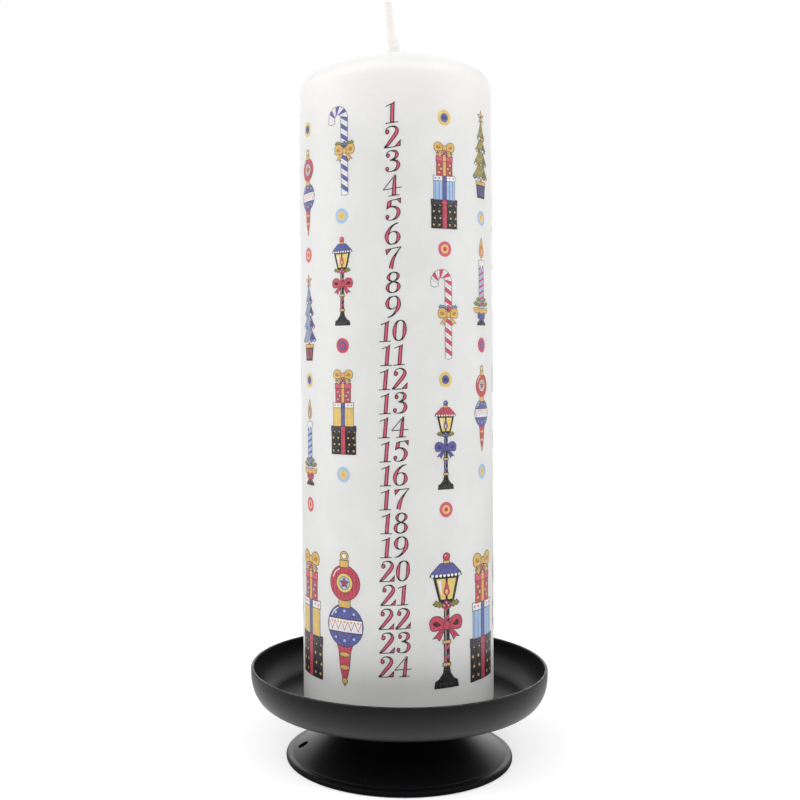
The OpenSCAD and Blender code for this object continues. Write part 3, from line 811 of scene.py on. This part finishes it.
def ribbon(points):
    # the outline of a stroke through (x, y, width) points
    left, right = [], []
    for i, (x, y, width) in enumerate(points):
        a, b = points[max(i - 1, 0)], points[min(i + 1, len(points) - 1)]
        length = math.hypot(b[0] - a[0], b[1] - a[1]) or 1
        nx, ny = (a[1] - b[1]) / length, (b[0] - a[0]) / length
        left.append((x + nx * width / 2, y + ny * width / 2))
        right.append((x - nx * width / 2, y - ny * width / 2))
    return evened(left + right[::-1])


def box(x0, y0, x1, y1):
    return [(x0, y0), (x1, y0), (x1, y1), (x0, y1)]


def oval(x, y, rx, ry=None, tilt=0, count=22):
    ry = ry or rx
    c, s = math.cos(math.radians(tilt)), math.sin(math.radians(tilt))
    ring = arc(0, 0, rx, ry, 0, 360, count)[:-1]
    return [(x + px * c - py * s, y + px * s + py * c) for px, py in ring]


def mirrored(half):
    # the right half of an outline, from its foot to its top, and its mirror image
    return half + [(-x, y) for x, y in half[::-1] if abs(x) > 1e-6]


def moved(points, x, y, side):
    # an outline put in place, turned over left to right where the side is -1
    return [(x + side * p[0], y + p[1]) for p in points]


def pressFlat(shapes, scale, s=filmSetup):
    # cuts a drawing into triangles that each hold the topmost ink, narrow enough to bend round the wax
    corners, outlines, uprights = [], [], []
    for _, outline in shapes:
        outlines.append(list(range(len(corners), len(corners) + len(outline))))
        corners += [Vector(p) * scale for p in outline]
    low = min(c.x for c in corners)
    high = max(c.x for c in corners)
    foot = min(c.y for c in corners) - 1
    top = max(c.y for c in corners) + 1
    for x in steps(low, high, max(2, int((high - low) / s["cut"])))[1:-1]:
        uprights.append((len(corners), len(corners) + 1))
        corners += [Vector((x, foot)), Vector((x, top))]
    points, _, triangles, _, _, owners = delaunay_2d_cdt(corners, uprights, outlines, 1, 1e-5)
    inked = [(tuple(t), shapes[max(owner)][0]) for t, owner in zip(triangles, owners) if owner]
    return [tuple(p) for p in points], [t for t, _ in inked], [ink for _, ink in inked]


class Film:
    # many prints on the wax, kept as one closed mesh with an ink to each face

    def __init__(self):
        self.points, self.faces, self.colours = [], [], []

    def lay(self, pressed, bearing, foot, colourway=None, s=filmSetup):
        flat, triangles, names = pressed
        top, under = len(self.points), len(self.points) + len(flat)
        tops, unders = [], []
        for x, y in flat:
            spot = Vector((x / s["wobbleLength"], y / s["wobbleLength"], bearing))
            drift = noise.noise_vector(spot) * s["wobble"]
            angle = math.radians(bearing) + (x + drift.x) / candleR
            z = foot + y + drift.y
            radius = candleR - waxDip(angle, z)
            tops.append(around(angle, radius + s["lift"], z))
            unders.append(around(angle, radius - s["sunk"], z))
        self.points += tops + unders
        edges = {(t[i], t[(i + 1) % 3]): n for n, t in enumerate(triangles) for i in range(3)}
        inkNames = [(colourway or {}).get(name, name) for name in names]
        for (a, b, c), name in zip(triangles, inkNames):
            self.faces += [(top + a, top + b, top + c), (under + c, under + b, under + a)]
            self.colours += [name, name]
        for (a, b), n in edges.items():
            if (b, a) not in edges:
                self.faces.append((top + b, top + a, under + a, under + b))
                self.colours.append(inkNames[n])

    def mesh(self, name):
        mesh = bpy.data.meshes.new(name)
        mesh.from_pydata(self.points, [], self.faces)
        layer = mesh.color_attributes.new("inkColor", "FLOAT_COLOR", "CORNER")
        linear = {ink: tone(chip) for ink, chip in inks.items()}
        values = [v for face, ink in zip(self.faces, self.colours) for _ in face for v in linear[ink]]
        layer.data.foreach_set("color", values)
        return mesh


# day numbers: numerals one unit high, as strokes of (x, y, width), balls of (x, y, radius) and wedges
numberSetup = {"high": 6.6375, "pitch": 7.5375, "topZ": 216.1, "gap": 0.9, "space": 0.1, "last": 24,
               "swell": 0.1, "edge": 0.3, "hairline": 0.22, "heart": 0.12, "ballTall": 1.15,
               "ballTilt": -20, "slopes": (0.14, 0.05), "leans": (0.03, 0.09), "narrow": (1.0, 0.92)}
numeralWidths = [0.74, 0.64, 0.84, 0.78, 0.88, 0.78, 0.78, 0.82, 0.74, 0.78]
numeralStrokes = [
    [[(0.37, 0.98, 0.04), (0.18, 0.87, 0.1), (0.11, 0.5, 0.19), (0.18, 0.13, 0.1), (0.37, 0.02, 0.04)],
     [(0.37, 0.02, 0.04), (0.56, 0.13, 0.1), (0.63, 0.5, 0.19), (0.56, 0.87, 0.1), (0.37, 0.98, 0.04)]],
    [[(0.02, 0.81, 0.04), (0.27, 0.9, 0.04)],
     [(0.02, 0.02, 0.04), (0.62, 0.02, 0.04)]],
    [[(0.1, 0.74, 0.04), (0.15, 0.9, 0.04), (0.34, 0.98, 0.05), (0.55, 0.93, 0.1), (0.65, 0.76, 0.17),
      (0.57, 0.57, 0.19), (0.39, 0.35, 0.17), (0.21, 0.14, 0.14), (0.05, 0.03, 0.04)],
     [(0.05, 0.02, 0.04), (0.58, 0.02, 0.04)]],
    [[(0.1, 0.78, 0.04), (0.16, 0.93, 0.04), (0.34, 0.98, 0.05), (0.54, 0.92, 0.13), (0.6, 0.76, 0.18),
      (0.5, 0.61, 0.1), (0.28, 0.54, 0.04)],
     [(0.3, 0.54, 0.04), (0.52, 0.51, 0.09), (0.65, 0.4, 0.15), (0.68, 0.25, 0.18), (0.58, 0.08, 0.12),
      (0.36, 0.02, 0.04), (0.16, 0.06, 0.04), (0.08, 0.16, 0.04)]],
    [[(0.56, 0.98, 0.04), (0.02, 0.35, 0.04)],
     [(0.01, 0.34, 0.04), (0.87, 0.36, 0.04)],
     [(0.27, 0.02, 0.04), (0.79, 0.02, 0.04)]],
    [[(0.25, 0.93, 0.04), (0.6, 0.96, 0.04)],
     [(0.12, 0.56, 0.04), (0.28, 0.64, 0.05), (0.47, 0.62, 0.09), (0.63, 0.5, 0.15), (0.68, 0.32, 0.18),
      (0.58, 0.11, 0.13), (0.36, 0.02, 0.04), (0.16, 0.06, 0.04), (0.08, 0.18, 0.04)]],
    [[(0.65, 0.98, 0.04), (0.46, 0.93, 0.07), (0.26, 0.77, 0.12), (0.12, 0.48, 0.19), (0.15, 0.2, 0.14),
      (0.26, 0.05, 0.07), (0.4, 0.02, 0.04)],
     [(0.4, 0.02, 0.04), (0.58, 0.09, 0.1), (0.67, 0.31, 0.19), (0.6, 0.52, 0.12), (0.42, 0.61, 0.04),
      (0.26, 0.55, 0.04), (0.17, 0.42, 0.04)]],
    [[(0.26, 0.95, 0.04), (0.8, 0.98, 0.04)],
     [(0.79, 0.98, 0.04), (0.6, 0.74, 0.07), (0.42, 0.42, 0.16), (0.33, 0.02, 0.21)]],
    [[(0.37, 0.98, 0.04), (0.22, 0.91, 0.09), (0.15, 0.76, 0.16), (0.22, 0.61, 0.09), (0.39, 0.53, 0.05)],
     [(0.39, 0.53, 0.05), (0.55, 0.63, 0.09), (0.61, 0.77, 0.16), (0.54, 0.91, 0.09), (0.37, 0.98, 0.04)],
     [(0.39, 0.53, 0.05), (0.2, 0.45, 0.1), (0.12, 0.27, 0.18), (0.2, 0.09, 0.1), (0.38, 0.02, 0.04)],
     [(0.38, 0.02, 0.04), (0.57, 0.09, 0.1), (0.65, 0.27, 0.18), (0.57, 0.45, 0.1), (0.39, 0.53, 0.05)]]]
numeralBalls = {2: [(0.19, 0.75, 0.1)], 3: [(0.19, 0.78, 0.09), (0.16, 0.16, 0.09)],
                5: [(0.16, 0.19, 0.09)]}
numeralWedges = {1: [[(0.24, 0.02), (0.44, 0.02), (0.44, 1), (0.24, 0.88)]],
                 2: [[(0.52, 0.01), (0.83, 0.01), (0.83, 0.33)]],
                 4: [[(0.42, 0.02), (0.63, 0.02), (0.61, 1), (0.46, 0.78)]],
                 5: [[(0.1, 0.54), (0.33, 0.66), (0.34, 0.95), (0.14, 0.91)],
                     [(0.54, 0.98), (0.78, 0.71), (0.78, 1)]],
                 7: [[(0.04, 0.95), (0.11, 0.67), (0.38, 0.98)]]}


def stretches(stroke, least):
    # the parts of a stroke that are wider than a least width
    run = []
    for point in stroke + [(0, 0, -1)]:
        if point[2] > least:
            run.append(point)
        elif run:
            if len(run) > 1:
                yield run
            run = []


def drawNumeral(d, digit, x, narrow, slope, lean, s):
    # black where a stroke is thin, wine where it swells, rose in its heart
    high = s["high"]
    flipped = digit == 9
    drawn = 6 if flipped else digit

    def placed(p):
        px, py = p[:2]
        if flipped:
            px, py = numeralWidths[9] - px, 1 - py
        px = x + narrow * high * px + lean * high * (py - 0.5)
        return (px, py * high + slope * px) + tuple(w * high for w in p[2:])

    strokes = [[placed(p) for p in smooth(stroke, 6)] for stroke in numeralStrokes[drawn]]
    balls = [placed(b) for b in numeralBalls.get(drawn, [])]
    wedges = [evened([placed(p) for p in w]) for w in numeralWedges.get(drawn, [])]
    for stroke in strokes:
        d.fill("line", ribbon([(px, py, max(s["hairline"], w)) for px, py, w in stroke]))
    for stroke in strokes:
        for run in stretches(stroke, s["swell"] * high):
            d.fill("wine", ribbon(run))
    for px, py, radius in balls:
        d.fill("wine", oval(px, py, radius, s["ballTall"] * radius, s["ballTilt"]))
    for wedge in wedges:
        d.fill("wine", wedge)
    for stroke in strokes:
        for run in stretches(stroke, 2 * s["edge"] + s["heart"]):
            d.fill("rose", ribbon([(px, py, w - 2 * s["edge"]) for px, py, w in run]))
    for px, py, radius in balls:
        tall = s["ballTall"] * radius - s["edge"]
        d.fill("rose", oval(px, py, radius - s["edge"], tall, s["ballTilt"]))
    for wedge in wedges:
        d.fill("rose", widened(wedge, -s["edge"]))


def printNumbers(s):
    film = Film()
    for day in range(1, s["last"] + 1):
        digits = [int(c) for c in str(day)]
        narrow, slope, lean = (s[key][len(digits) - 1] for key in ("narrow", "slopes", "leans"))
        wide = narrow * sum(numeralWidths[c] for c in digits) * s["high"] + s["space"] * (len(digits) - 1)
        d = Drawing()
        x = -wide / 2
        for digit in digits:
            drawNumeral(d, digit, x, narrow, slope, lean, s)
            x += narrow * numeralWidths[digit] * s["high"] + s["space"]
        film.lay(pressFlat(d.shapes, 1), 0, s["topZ"] + s["gap"] - day * s["pitch"])
    addPiece(film.mesh("dayNumbers"), "candle", "number_ink", numberFinish, "day_numbers")


printNumbers(numberSetup)
print("day numbers printed")


# motifs, drawn 27 high with their foot at the origin
def drawBow(d, x, y, wide, tall, ink):
    for side in (1, -1):
        tail = [(0, 0.2), (0.6, -0.1), (0.4 * wide, -0.72 * tall), (0.3 * wide, -0.66 * tall),
                (0.22 * wide, -0.85 * tall)]
        loop = smooth([(0, 0.35), (0.2 * wide, 0.5 * tall), (0.4 * wide, 0.52 * tall),
                       (0.5 * wide, 0.2 * tall), (0.44 * wide, -0.24 * tall),
                       (0.2 * wide, -0.22 * tall), (0, -0.35)], 4)
        heart = looped([(0.16 * wide, 0.1), (0.32 * wide, 0.28 * tall), (0.41 * wide, 0.12 * tall),
                        (0.32 * wide, -0.06 * tall)], 4)
        upperFold = [(0.7, 0.25), (0.16 * wide, 0.3 * tall), (0.24 * wide, 0.36 * tall)]
        lowerFold = [(0.5, -0.5), (0.18 * wide, -0.4 * tall), (0.26 * wide, -0.6 * tall)]
        d.shape(ink, moved(tail, x, y, side))
        d.shape(ink, moved(loop, x, y, side))
        d.fill(shadeOf[ink], moved(heart, x, y, side))
        d.line(moved(upperFold, x, y, side), 0.1)
        d.line(moved(lowerFold, x, y, side), 0.1)
    d.shape(ink, oval(x, y, 0.72, 0.8))
    d.line([(x - 0.25, y + 0.5), (x - 0.2, y - 0.4)], 0.1)


def drawHolly(d, x, y, side, size):
    edge = [(0, 0), (0.5, 0.45), (0.9, 0.3), (1.2, 0.75), (1.7, 0.5), (1.95, 0.85), (2.5, 0.35)]
    under = [(2.0, -0.1), (1.75, 0.1), (1.3, -0.3), (1.0, -0.05), (0.55, -0.35)]
    outline = [(size * px, size * py) for px, py in edge + under]
    vein = [(0.2 * size, 0), (1.2 * size, 0.2 * size), (2.2 * size, 0.33 * size)]
    d.shape("olive", moved(outline, x, y, side))
    d.line(moved(vein, x, y, side), 0.1, "moss")


def drawSprig(d, x, y, apart, size):
    # two holly leaves that point away from each other
    for side in (1, -1):
        drawHolly(d, x + side * apart, y, side, size)


def drawBerries(d, x, y):
    for dx, dy in ((-0.5, 0.1), (0.5, 0.05), (0, 0.65)):
        d.dot("crimson", x + dx, y + dy, 0.42)
        d.fill("snow", oval(x + dx - 0.12, y + dy + 0.14, 0.12))


def drawStar(d, x, y, tip, inner, ink):
    points = [(x + r * math.cos(a), y + r * math.sin(a)) for i in range(10)
              for r, a in [(inner if i % 2 else tip, math.pi / 2 + i * math.pi / 5)]]
    d.shape(ink, points)
    for i in range(0, 10, 2):
        d.line([(x, y), points[i]], 0.1, shadeOf[ink])


def drawFirTree(d):
    d.shape("black", [(-2.2, 0), (2.2, 0), (2.8, 4), (-2.8, 4)])
    for x in (-1.5, -0.5, 0.5, 1.5):
        d.fill("crimson", [(x - 0.25, 0.5), (x + 0.25, 0.5), (x * 1.2 + 0.3, 3.6), (x * 1.2 - 0.3, 3.6)])
    d.shape("gold", box(-3.1, 4, 3.1, 5))
    for x in steps(-2.4, 2.4, 6):
        d.fill("amber", oval(x, 4.5, 0.2))
    d.shape("amber", box(-0.5, 5, 0.5, 6.6))
    tiers = [(4.6, 6.2, 7.6), (3.9, 10.4, 7.2), (3.1, 14.6, 6.4), (2.2, 18.4, 5.8)]
    for n, (half, y, rise) in enumerate(tiers):
        side = smooth([(half, y + 0.25), (0.62 * half, y + 0.28 * rise), (0.3 * half, y + 0.62 * rise),
                       (0, y + rise)], 4)
        lobes = []
        for i in range(5):
            lobes += arc(half * (-0.8 + 0.4 * i), y + 0.25, half / 5, 0.55, 180, 360, 5)[:-1]
        d.shape("olive", lobes + side + [(-x, h) for x, h in side[-2:0:-1]])
        d.fill("moss", [(0.15 * half, y + 0.1), (0.9 * half, y + 0.3), (0.5 * half, y + 0.36 * rise),
                        (0.22 * half, y + 0.7 * rise), (0.3 * half, y + 0.3 * rise)])
        for i in range(6):
            x = half * (-0.7 + 0.28 * i)
            h = y + 0.12 * rise + 0.1 * (i % 2)
            d.line([(x, h), (x * 0.86, h + 0.16 * rise)], 0.11, "line" if i % 2 else "moss")
        drop = 0.2 * rise
        sway = [(-0.66 * half, y + 0.33 * rise), (-0.2 * half, y + 0.33 * rise - drop * 0.7),
                (0.3 * half, y + 0.4 * rise - drop * 0.5), (0.5 * half, y + 0.46 * rise)]
        d.line(smooth(sway, 5), 0.42)
        d.line(smooth(sway, 5), 0.26, "gold")
        for i, x in enumerate((-0.8 * half, -0.4 * half, 0, 0.4 * half, 0.8 * half)):
            ink = ("crimson", "sky", "snow", "violet", "lemon")[(i + 2 * n) % 5]
            d.dot(ink, x, y - 0.1, 0.42)
            d.fill("snow", oval(x - 0.12, y + 0.05, 0.11))
    drawStar(d, 0, 25, 2, 0.85, "gold")
    d.dot("crimson", 0, 25, 0.38)


def drawLampPost(d):
    d.shape("black", mirrored([(2.7, 0), (2.5, 1.2), (1.7, 1.6), (0.8, 2.8), (0.55, 4), (0.5, 16.7)]))
    d.fill("coal", [(-2.1, 0.4), (1.6, 0.4), (1.5, 0.75), (-2.0, 0.75)])
    d.fill("mist", [(-0.3, 4), (-0.14, 4), (-0.14, 16), (-0.3, 16)])
    for y in (4.3, 8.8):
        d.shape("gold", box(-0.85, y, 0.85, y + 0.55))
    for y in steps(5.3, 15.2, 5):
        if not 7.4 < y < 9.6:
            d.fill("crimson", [(-0.6, y), (0.6, y + 0.6), (0.6, y + 1.3), (-0.6, y + 0.7)])
    d.shape("black", [(-1.6, 17.2), (1.6, 17.2), (2.9, 22.2), (-2.9, 22.2)])
    d.shape("black", mirrored([(0.5, 16.6), (1.7, 17.2)]))
    d.fill("lemon", [(-1.3, 17.6), (-0.25, 17.6), (-0.25, 21.7), (-2.3, 21.7)])
    d.fill("lemon", [(1.3, 17.6), (0.25, 17.6), (0.25, 21.7), (2.3, 21.7)])
    d.fill("snow", [(-1.5, 19.4), (-1.05, 18.2), (-1.2, 21.3), (-1.95, 21.3)])
    d.shape("crimson", looped(mirrored([(0, 18.2), (0.6, 18.9), (0.45, 19.8), (0, 21)]), 4), 0.1)
    d.fill("lemon", oval(0, 19.1, 0.28, 0.5))
    d.shape("violet", mirrored([(3.6, 22.3), (3.3, 22.9), (1.4, 24.7), (0, 24.8)]))
    for x in (-1.9, -0.65, 0.65, 1.9):
        d.line([(x, 22.5), (x * 0.42, 24.5)], 0.12)
    for x in steps(-3.1, 3.1, 7):
        d.dot("snow", x, 22.35, 0.3, 0.1)
    d.shape("gold", box(-0.6, 24.8, 0.6, 25.4))
    d.dot("crimson", 0, 26.1, 0.7)
    d.fill("snow", oval(-0.22, 26.35, 0.14))
    drawSprig(d, 0, 16.4, 0.2, 1.1)
    drawBerries(d, 0, 16.2)
    drawBow(d, 0, 12.4, 7.4, 3.4, "crimson")


def drawOrnament(d):
    d.fill("line", oval(0, 26, 1.05))
    d.fill("gold", oval(0, 26, 0.92))
    d.fill("line", oval(0, 26, 0.6))
    d.fill("snow", oval(0, 26, 0.48))
    d.shape("crimson", looped(mirrored([(0, 0), (0.5, 1.6), (1.1, 4), (1.4, 7), (1.8, 8.9)]), 3))
    for y in (3.6, 6.2):
        d.shape("gold", oval(0, y, 1.15, 0.42), 0.1)
    d.dot("gold", 0, 0.9, 0.55)
    d.dot("violet", 0, 12, 4.2)
    for side in (1, -1):
        curve = smooth([(0, 16.1), (side * 1.9, 14), (side * 2.2, 12), (side * 1.9, 10), (0, 7.9)], 5)
        d.line(curve, 0.16, "indigo")
    d.fill("line", box(-4.02, 10.55, 4.02, 13.45))
    d.fill("snow", box(-4.0, 10.75, 4.0, 13.25))
    zig = [(-3.9 + 0.78 * i, 11.1 if i % 2 else 12.9) for i in range(11)]
    d.line(zig, 0.34, "crimson")
    for i in range(5):
        d.fill("gold", oval(-3.1 + 1.56 * i, 12.75, 0.26))
    for x, y in ((-2.2, 14.5), (0, 15), (2.2, 14.5), (-2.2, 9.5), (0, 9), (2.2, 9.5)):
        d.dot("lemon", x, y, 0.32, 0.1)
    d.line(smooth([(-3.3, 13.7), (-2.6, 14.8), (-1.4, 15.6)], 4), 0.2, "snow")
    d.shape("gold", box(-1.3, 15.7, 1.3, 17.3))
    for x in (-0.7, 0, 0.7):
        d.line([(x, 15.9), (x, 17.1)], 0.14, "amber")
    d.dot("crimson", 0, 20.6, 3.5)
    for i in range(7):
        x = -2.7 + 0.9 * i
        reach = math.sqrt(3.4 ** 2 - x * x)
        d.line([(x, 20.6 - 0.9 * reach), (x * 1.05, 20.6), (x, 20.6 + 0.9 * reach)], 0.15, "wine")
    d.shape("sky", oval(0, 20.6, 1.9))
    d.shape("lemon", oval(0, 20.6, 1.25), 0.1)
    drawStar(d, 0, 20.6, 0.95, 0.42, "crimson")
    d.line(smooth([(-2.8, 21.6), (-2.1, 22.8), (-1.0, 23.5)], 4), 0.2, "snow")
    d.shape("gold", box(-0.95, 23.8, 0.95, 25.1))
    d.line([(-0.4, 23.9), (-0.4, 25)], 0.12, "amber")
    d.line([(0.4, 23.9), (0.4, 25)], 0.12, "amber")


def drawCandyCane(d):
    hookX, hookY, outerR, band = -1.2, 23.5, 3.5, 2.3
    innerR = outerR - band
    outer = arc(hookX, hookY, outerR, outerR, 0, 180, 20)
    inner = arc(hookX, hookY, innerR, innerR, 180, 0, 16)
    tip = arc(hookX - outerR + band / 2, hookY - 1.2, band / 2, 0.5, 180, 360, 6)
    foot = arc(hookX + outerR - band / 2, 0.5, band / 2, 0.5, 180, 360, 6)
    d.shape("snow", foot + outer + tip + inner)
    centre = [(hookX + outerR - band / 2, y) for y in steps(0.7, hookY, 30)]
    centre += arc(hookX, hookY, innerR + band / 2, innerR + band / 2, 0, 180, 14)[1:]
    centre += [(hookX - outerR + band / 2, hookY - 0.9)]
    half = band / 2 - 0.02

    def across(i, side):
        i = min(max(i, 0), len(centre) - 1)
        a, b = centre[max(i - 1, 0)], centre[min(i + 1, len(centre) - 1)]
        x, y = centre[i]
        length = math.dist(a, b)
        return (x + side * half * (b[1] - a[1]) / length, y - side * half * (b[0] - a[0]) / length)

    for i in range(0, len(centre) - 3, 4):
        edge = [across(i + n, 1) for n in (0, 1, 2)] + [across(i + n, -1) for n in (4, 3, 2)]
        d.fill("crimson", edge)
        d.line([across(i + 3, 1), across(i + 5, -1)], 0.16, "violet")
    d.line([(0.35, 1), (0.32, 9.5)], 0.16, "mist")
    drawSprig(d, 1.1, 15.3, 0.3, 1.2)
    drawBerries(d, 1.1, 15.2)
    drawBow(d, 1.1, 13.4, 7, 3.6, "gold")


def drawTaper(d):
    d.shape("black", mirrored([(2.6, 0), (2.5, 0.5), (1.4, 1.2), (0.8, 2), (0.8, 3.3)]))
    d.shape("gold", mirrored([(0.9, 3.2), (3.9, 3.9), (4.3, 4.4), (4.5, 5.2)]))
    for x in steps(-3.4, 3.4, 6):
        d.fill("amber", oval(x, 4.7, 0.24))
    d.shape("sky", box(-1.5, 5.2, 1.5, 19.6))
    for y in steps(5.5, 16.9, 6):
        d.fill("crimson", [(-1.5, y), (1.5, y + 1.1), (1.5, y + 1.9), (-1.5, y + 0.8)])
        d.line([(-1.5, y + 1.25), (1.5, y + 2.35)], 0.16, "violet")
    drip = looped([(-1.7, 19.9), (-1.8, 18.6), (-1.3, 17.6), (-0.9, 18.6), (-0.5, 18.2), (-0.1, 16.9),
                   (0.35, 18.1), (0.8, 18.7), (1.2, 17.9), (1.7, 18.4), (1.7, 19.9), (0, 20.2)], 3)
    d.shape("snow", drip)
    d.line([(-1.1, 19.5), (-1.2, 18.6)], 0.12, "mist")
    d.line([(0, 20), (0.05, 21.4)], 0.24)
    flame = mirrored([(0, 20.9), (1.0, 21.5), (1.4, 22.8), (0.9, 24.8), (0, 27)])
    d.shape("gold", flame[:1] + smooth(flame[1:] + flame[:1], 3))
    d.fill("crimson", looped(mirrored([(0, 21.3), (0.7, 22), (0.75, 23), (0, 25.2)]), 3))
    d.fill("lemon", looped(mirrored([(0, 21.6), (0.4, 22.2), (0.35, 22.9), (0, 24)]), 3))
    drawSprig(d, 0, 6.2, 1.1, 1.3)
    drawSprig(d, 0, 7.6, 0.5, 1.0)
    drawBerries(d, 0, 6.3)
    drawBow(d, 0, 2.6, 4.6, 2.2, "violet")


def drawParcels(d):
    d.shape("black", box(-4.4, 0, 4.4, 8.2))
    for i in range(5):
        for j in range(4):
            x, y = -3.7 + 1.85 * i, 1.0 + 2.0 * j
            if abs(x) > 0.9:
                d.fill("gold", oval(x + 0.35 * (j % 2), y, 0.3))
    d.shape("crimson", box(-0.7, 0, 0.7, 8.2))
    d.line([(-0.25, 0.3), (-0.25, 7.9)], 0.12, "wine")
    d.shape("coal", box(-4.55, 7.1, 4.55, 8.6))
    d.shape("crimson", box(-0.75, 7.1, 0.75, 8.6))
    d.shape("sky", box(-3.6, 8.6, 3.6, 15.0))
    for i in range(6):
        x = -3.3 + 1.2 * i
        d.fill("steel", [(x, 8.7), (x + 0.4, 8.7), (x + 0.4, 14.9), (x, 14.9)])
    d.shape("violet", box(-0.6, 8.6, 0.6, 15.0))
    d.shape("snow", box(-3.75, 14.3, 3.75, 15.8))
    for x in steps(-3.1, 3.1, 5):
        d.fill("crimson", oval(x, 15.05, 0.26))
    d.shape("violet", box(-0.65, 14.3, 0.65, 15.8))
    d.shape("crimson", box(-2.7, 15.8, 2.7, 20.6))
    for x, y in ((-1.9, 16.8), (-1.9, 19), (-1.2, 17.9), (1.9, 16.8), (1.9, 19), (1.2, 17.9)):
        drawStar(d, x, y, 0.55, 0.25, "lemon")
    d.shape("gold", box(-0.5, 15.8, 0.5, 20.6))
    d.shape("rose", box(-2.85, 20.2, 2.85, 21.6))
    d.shape("gold", box(-0.55, 20.2, 0.55, 21.6))
    drawSprig(d, 0, 22.1, 0.3, 1.0)
    drawBow(d, 0, 24.0, 7, 3.2, "gold")
    drawBerries(d, 0, 22.4)


# print layout: small motifs in columns that rise to the right, large ones in a border at the foot
layout = {"columns": 12, "rows": 3, "turn": 30.0, "startZ": 84.0, "step": 11.0, "phases": 3,
          "rowPitch": 41.03, "scale": 1.038, "borderZ": 32.0, "borderScale": 1.593, "gap": 13.0,
          "dot": 4.7, "dotRings": (1, 0.58, 0.3), "dotTall": 1.04}
motifs = [("firTrees", "fir_tree_prints", drawFirTree),
          ("lampPosts", "lamp_post_prints", drawLampPost),
          ("ornaments", "ornament_prints", drawOrnament),
          ("candyCanes", "candy_cane_prints", drawCandyCane),
          ("tapers", "taper_prints", drawTaper),
          ("parcels", "parcel_prints", drawParcels)]
borderKinds = [0, 1, 5, 2]
colourways = [{}, {"crimson": "violet", "wine": "indigo", "violet": "crimson", "indigo": "wine"},
              {"sky": "lemon", "steel": "gold", "lemon": "sky", "olive": "steel", "moss": "indigo"}]


def footOf(column, row, s=layout):
    return s["startZ"] + column % s["phases"] * s["step"] + row * s["rowPitch"]


def printMotifs(s):
    for kind, (name, nodeName, draw) in enumerate(motifs):
        d = Drawing()
        draw(d)
        small = pressFlat(d.shapes, s["scale"])
        large = pressFlat(d.shapes, s["borderScale"]) if kind in borderKinds else None
        film = Film()
        for column in range(1, s["columns"]):
            bearing = column * s["turn"]
            for row in range(s["rows"]):
                if (column + 2 * row) % len(motifs) == kind:
                    way = (column + row) % len(colourways)
                    film.lay(small, bearing, footOf(column, row), colourways[way])
            if borderKinds[column % len(borderKinds)] == kind:
                way = column // len(borderKinds) % len(colourways)
                film.lay(large, bearing, s["borderZ"], colourways[way])
        addPiece(film.mesh(name), "candle", "motif_ink", motifFinish, nodeName)


printMotifs(layout)

# ringed dots: three inks from the rim inwards
dotInks = [("violet", "sky", "snow"), ("sky", "lemon", "gold"), ("lemon", "violet", "indigo"),
           ("olive", "crimson", "rose"), ("crimson", "violet", "crimson"), ("rose", "lemon", "crimson")]


def printDots(s):
    film = Film()
    printTop = numberSetup["topZ"]
    for column in range(1, s["columns"]):
        for row in range(-1, s["rows"]):
            z = footOf(column, row + 1) - s["gap"] / 2
            if not s["startZ"] < z < printTop - s["dot"] / 2:
                continue
            d = Drawing()
            for ink, share in zip(dotInks[(column * 2 + row * 3) % len(dotInks)], s["dotRings"]):
                radius = share * s["dot"] / 2
                d.fill(ink, oval(0, 0, radius, radius * s["dotTall"], 20 * column, 36))
            film.lay(pressFlat(d.shapes, 1), column * s["turn"], z)
    addPiece(film.mesh("ringedDots"), "candle", "motif_ink", motifFinish, "dot_prints")


printDots(layout)
print("motifs and dots printed")
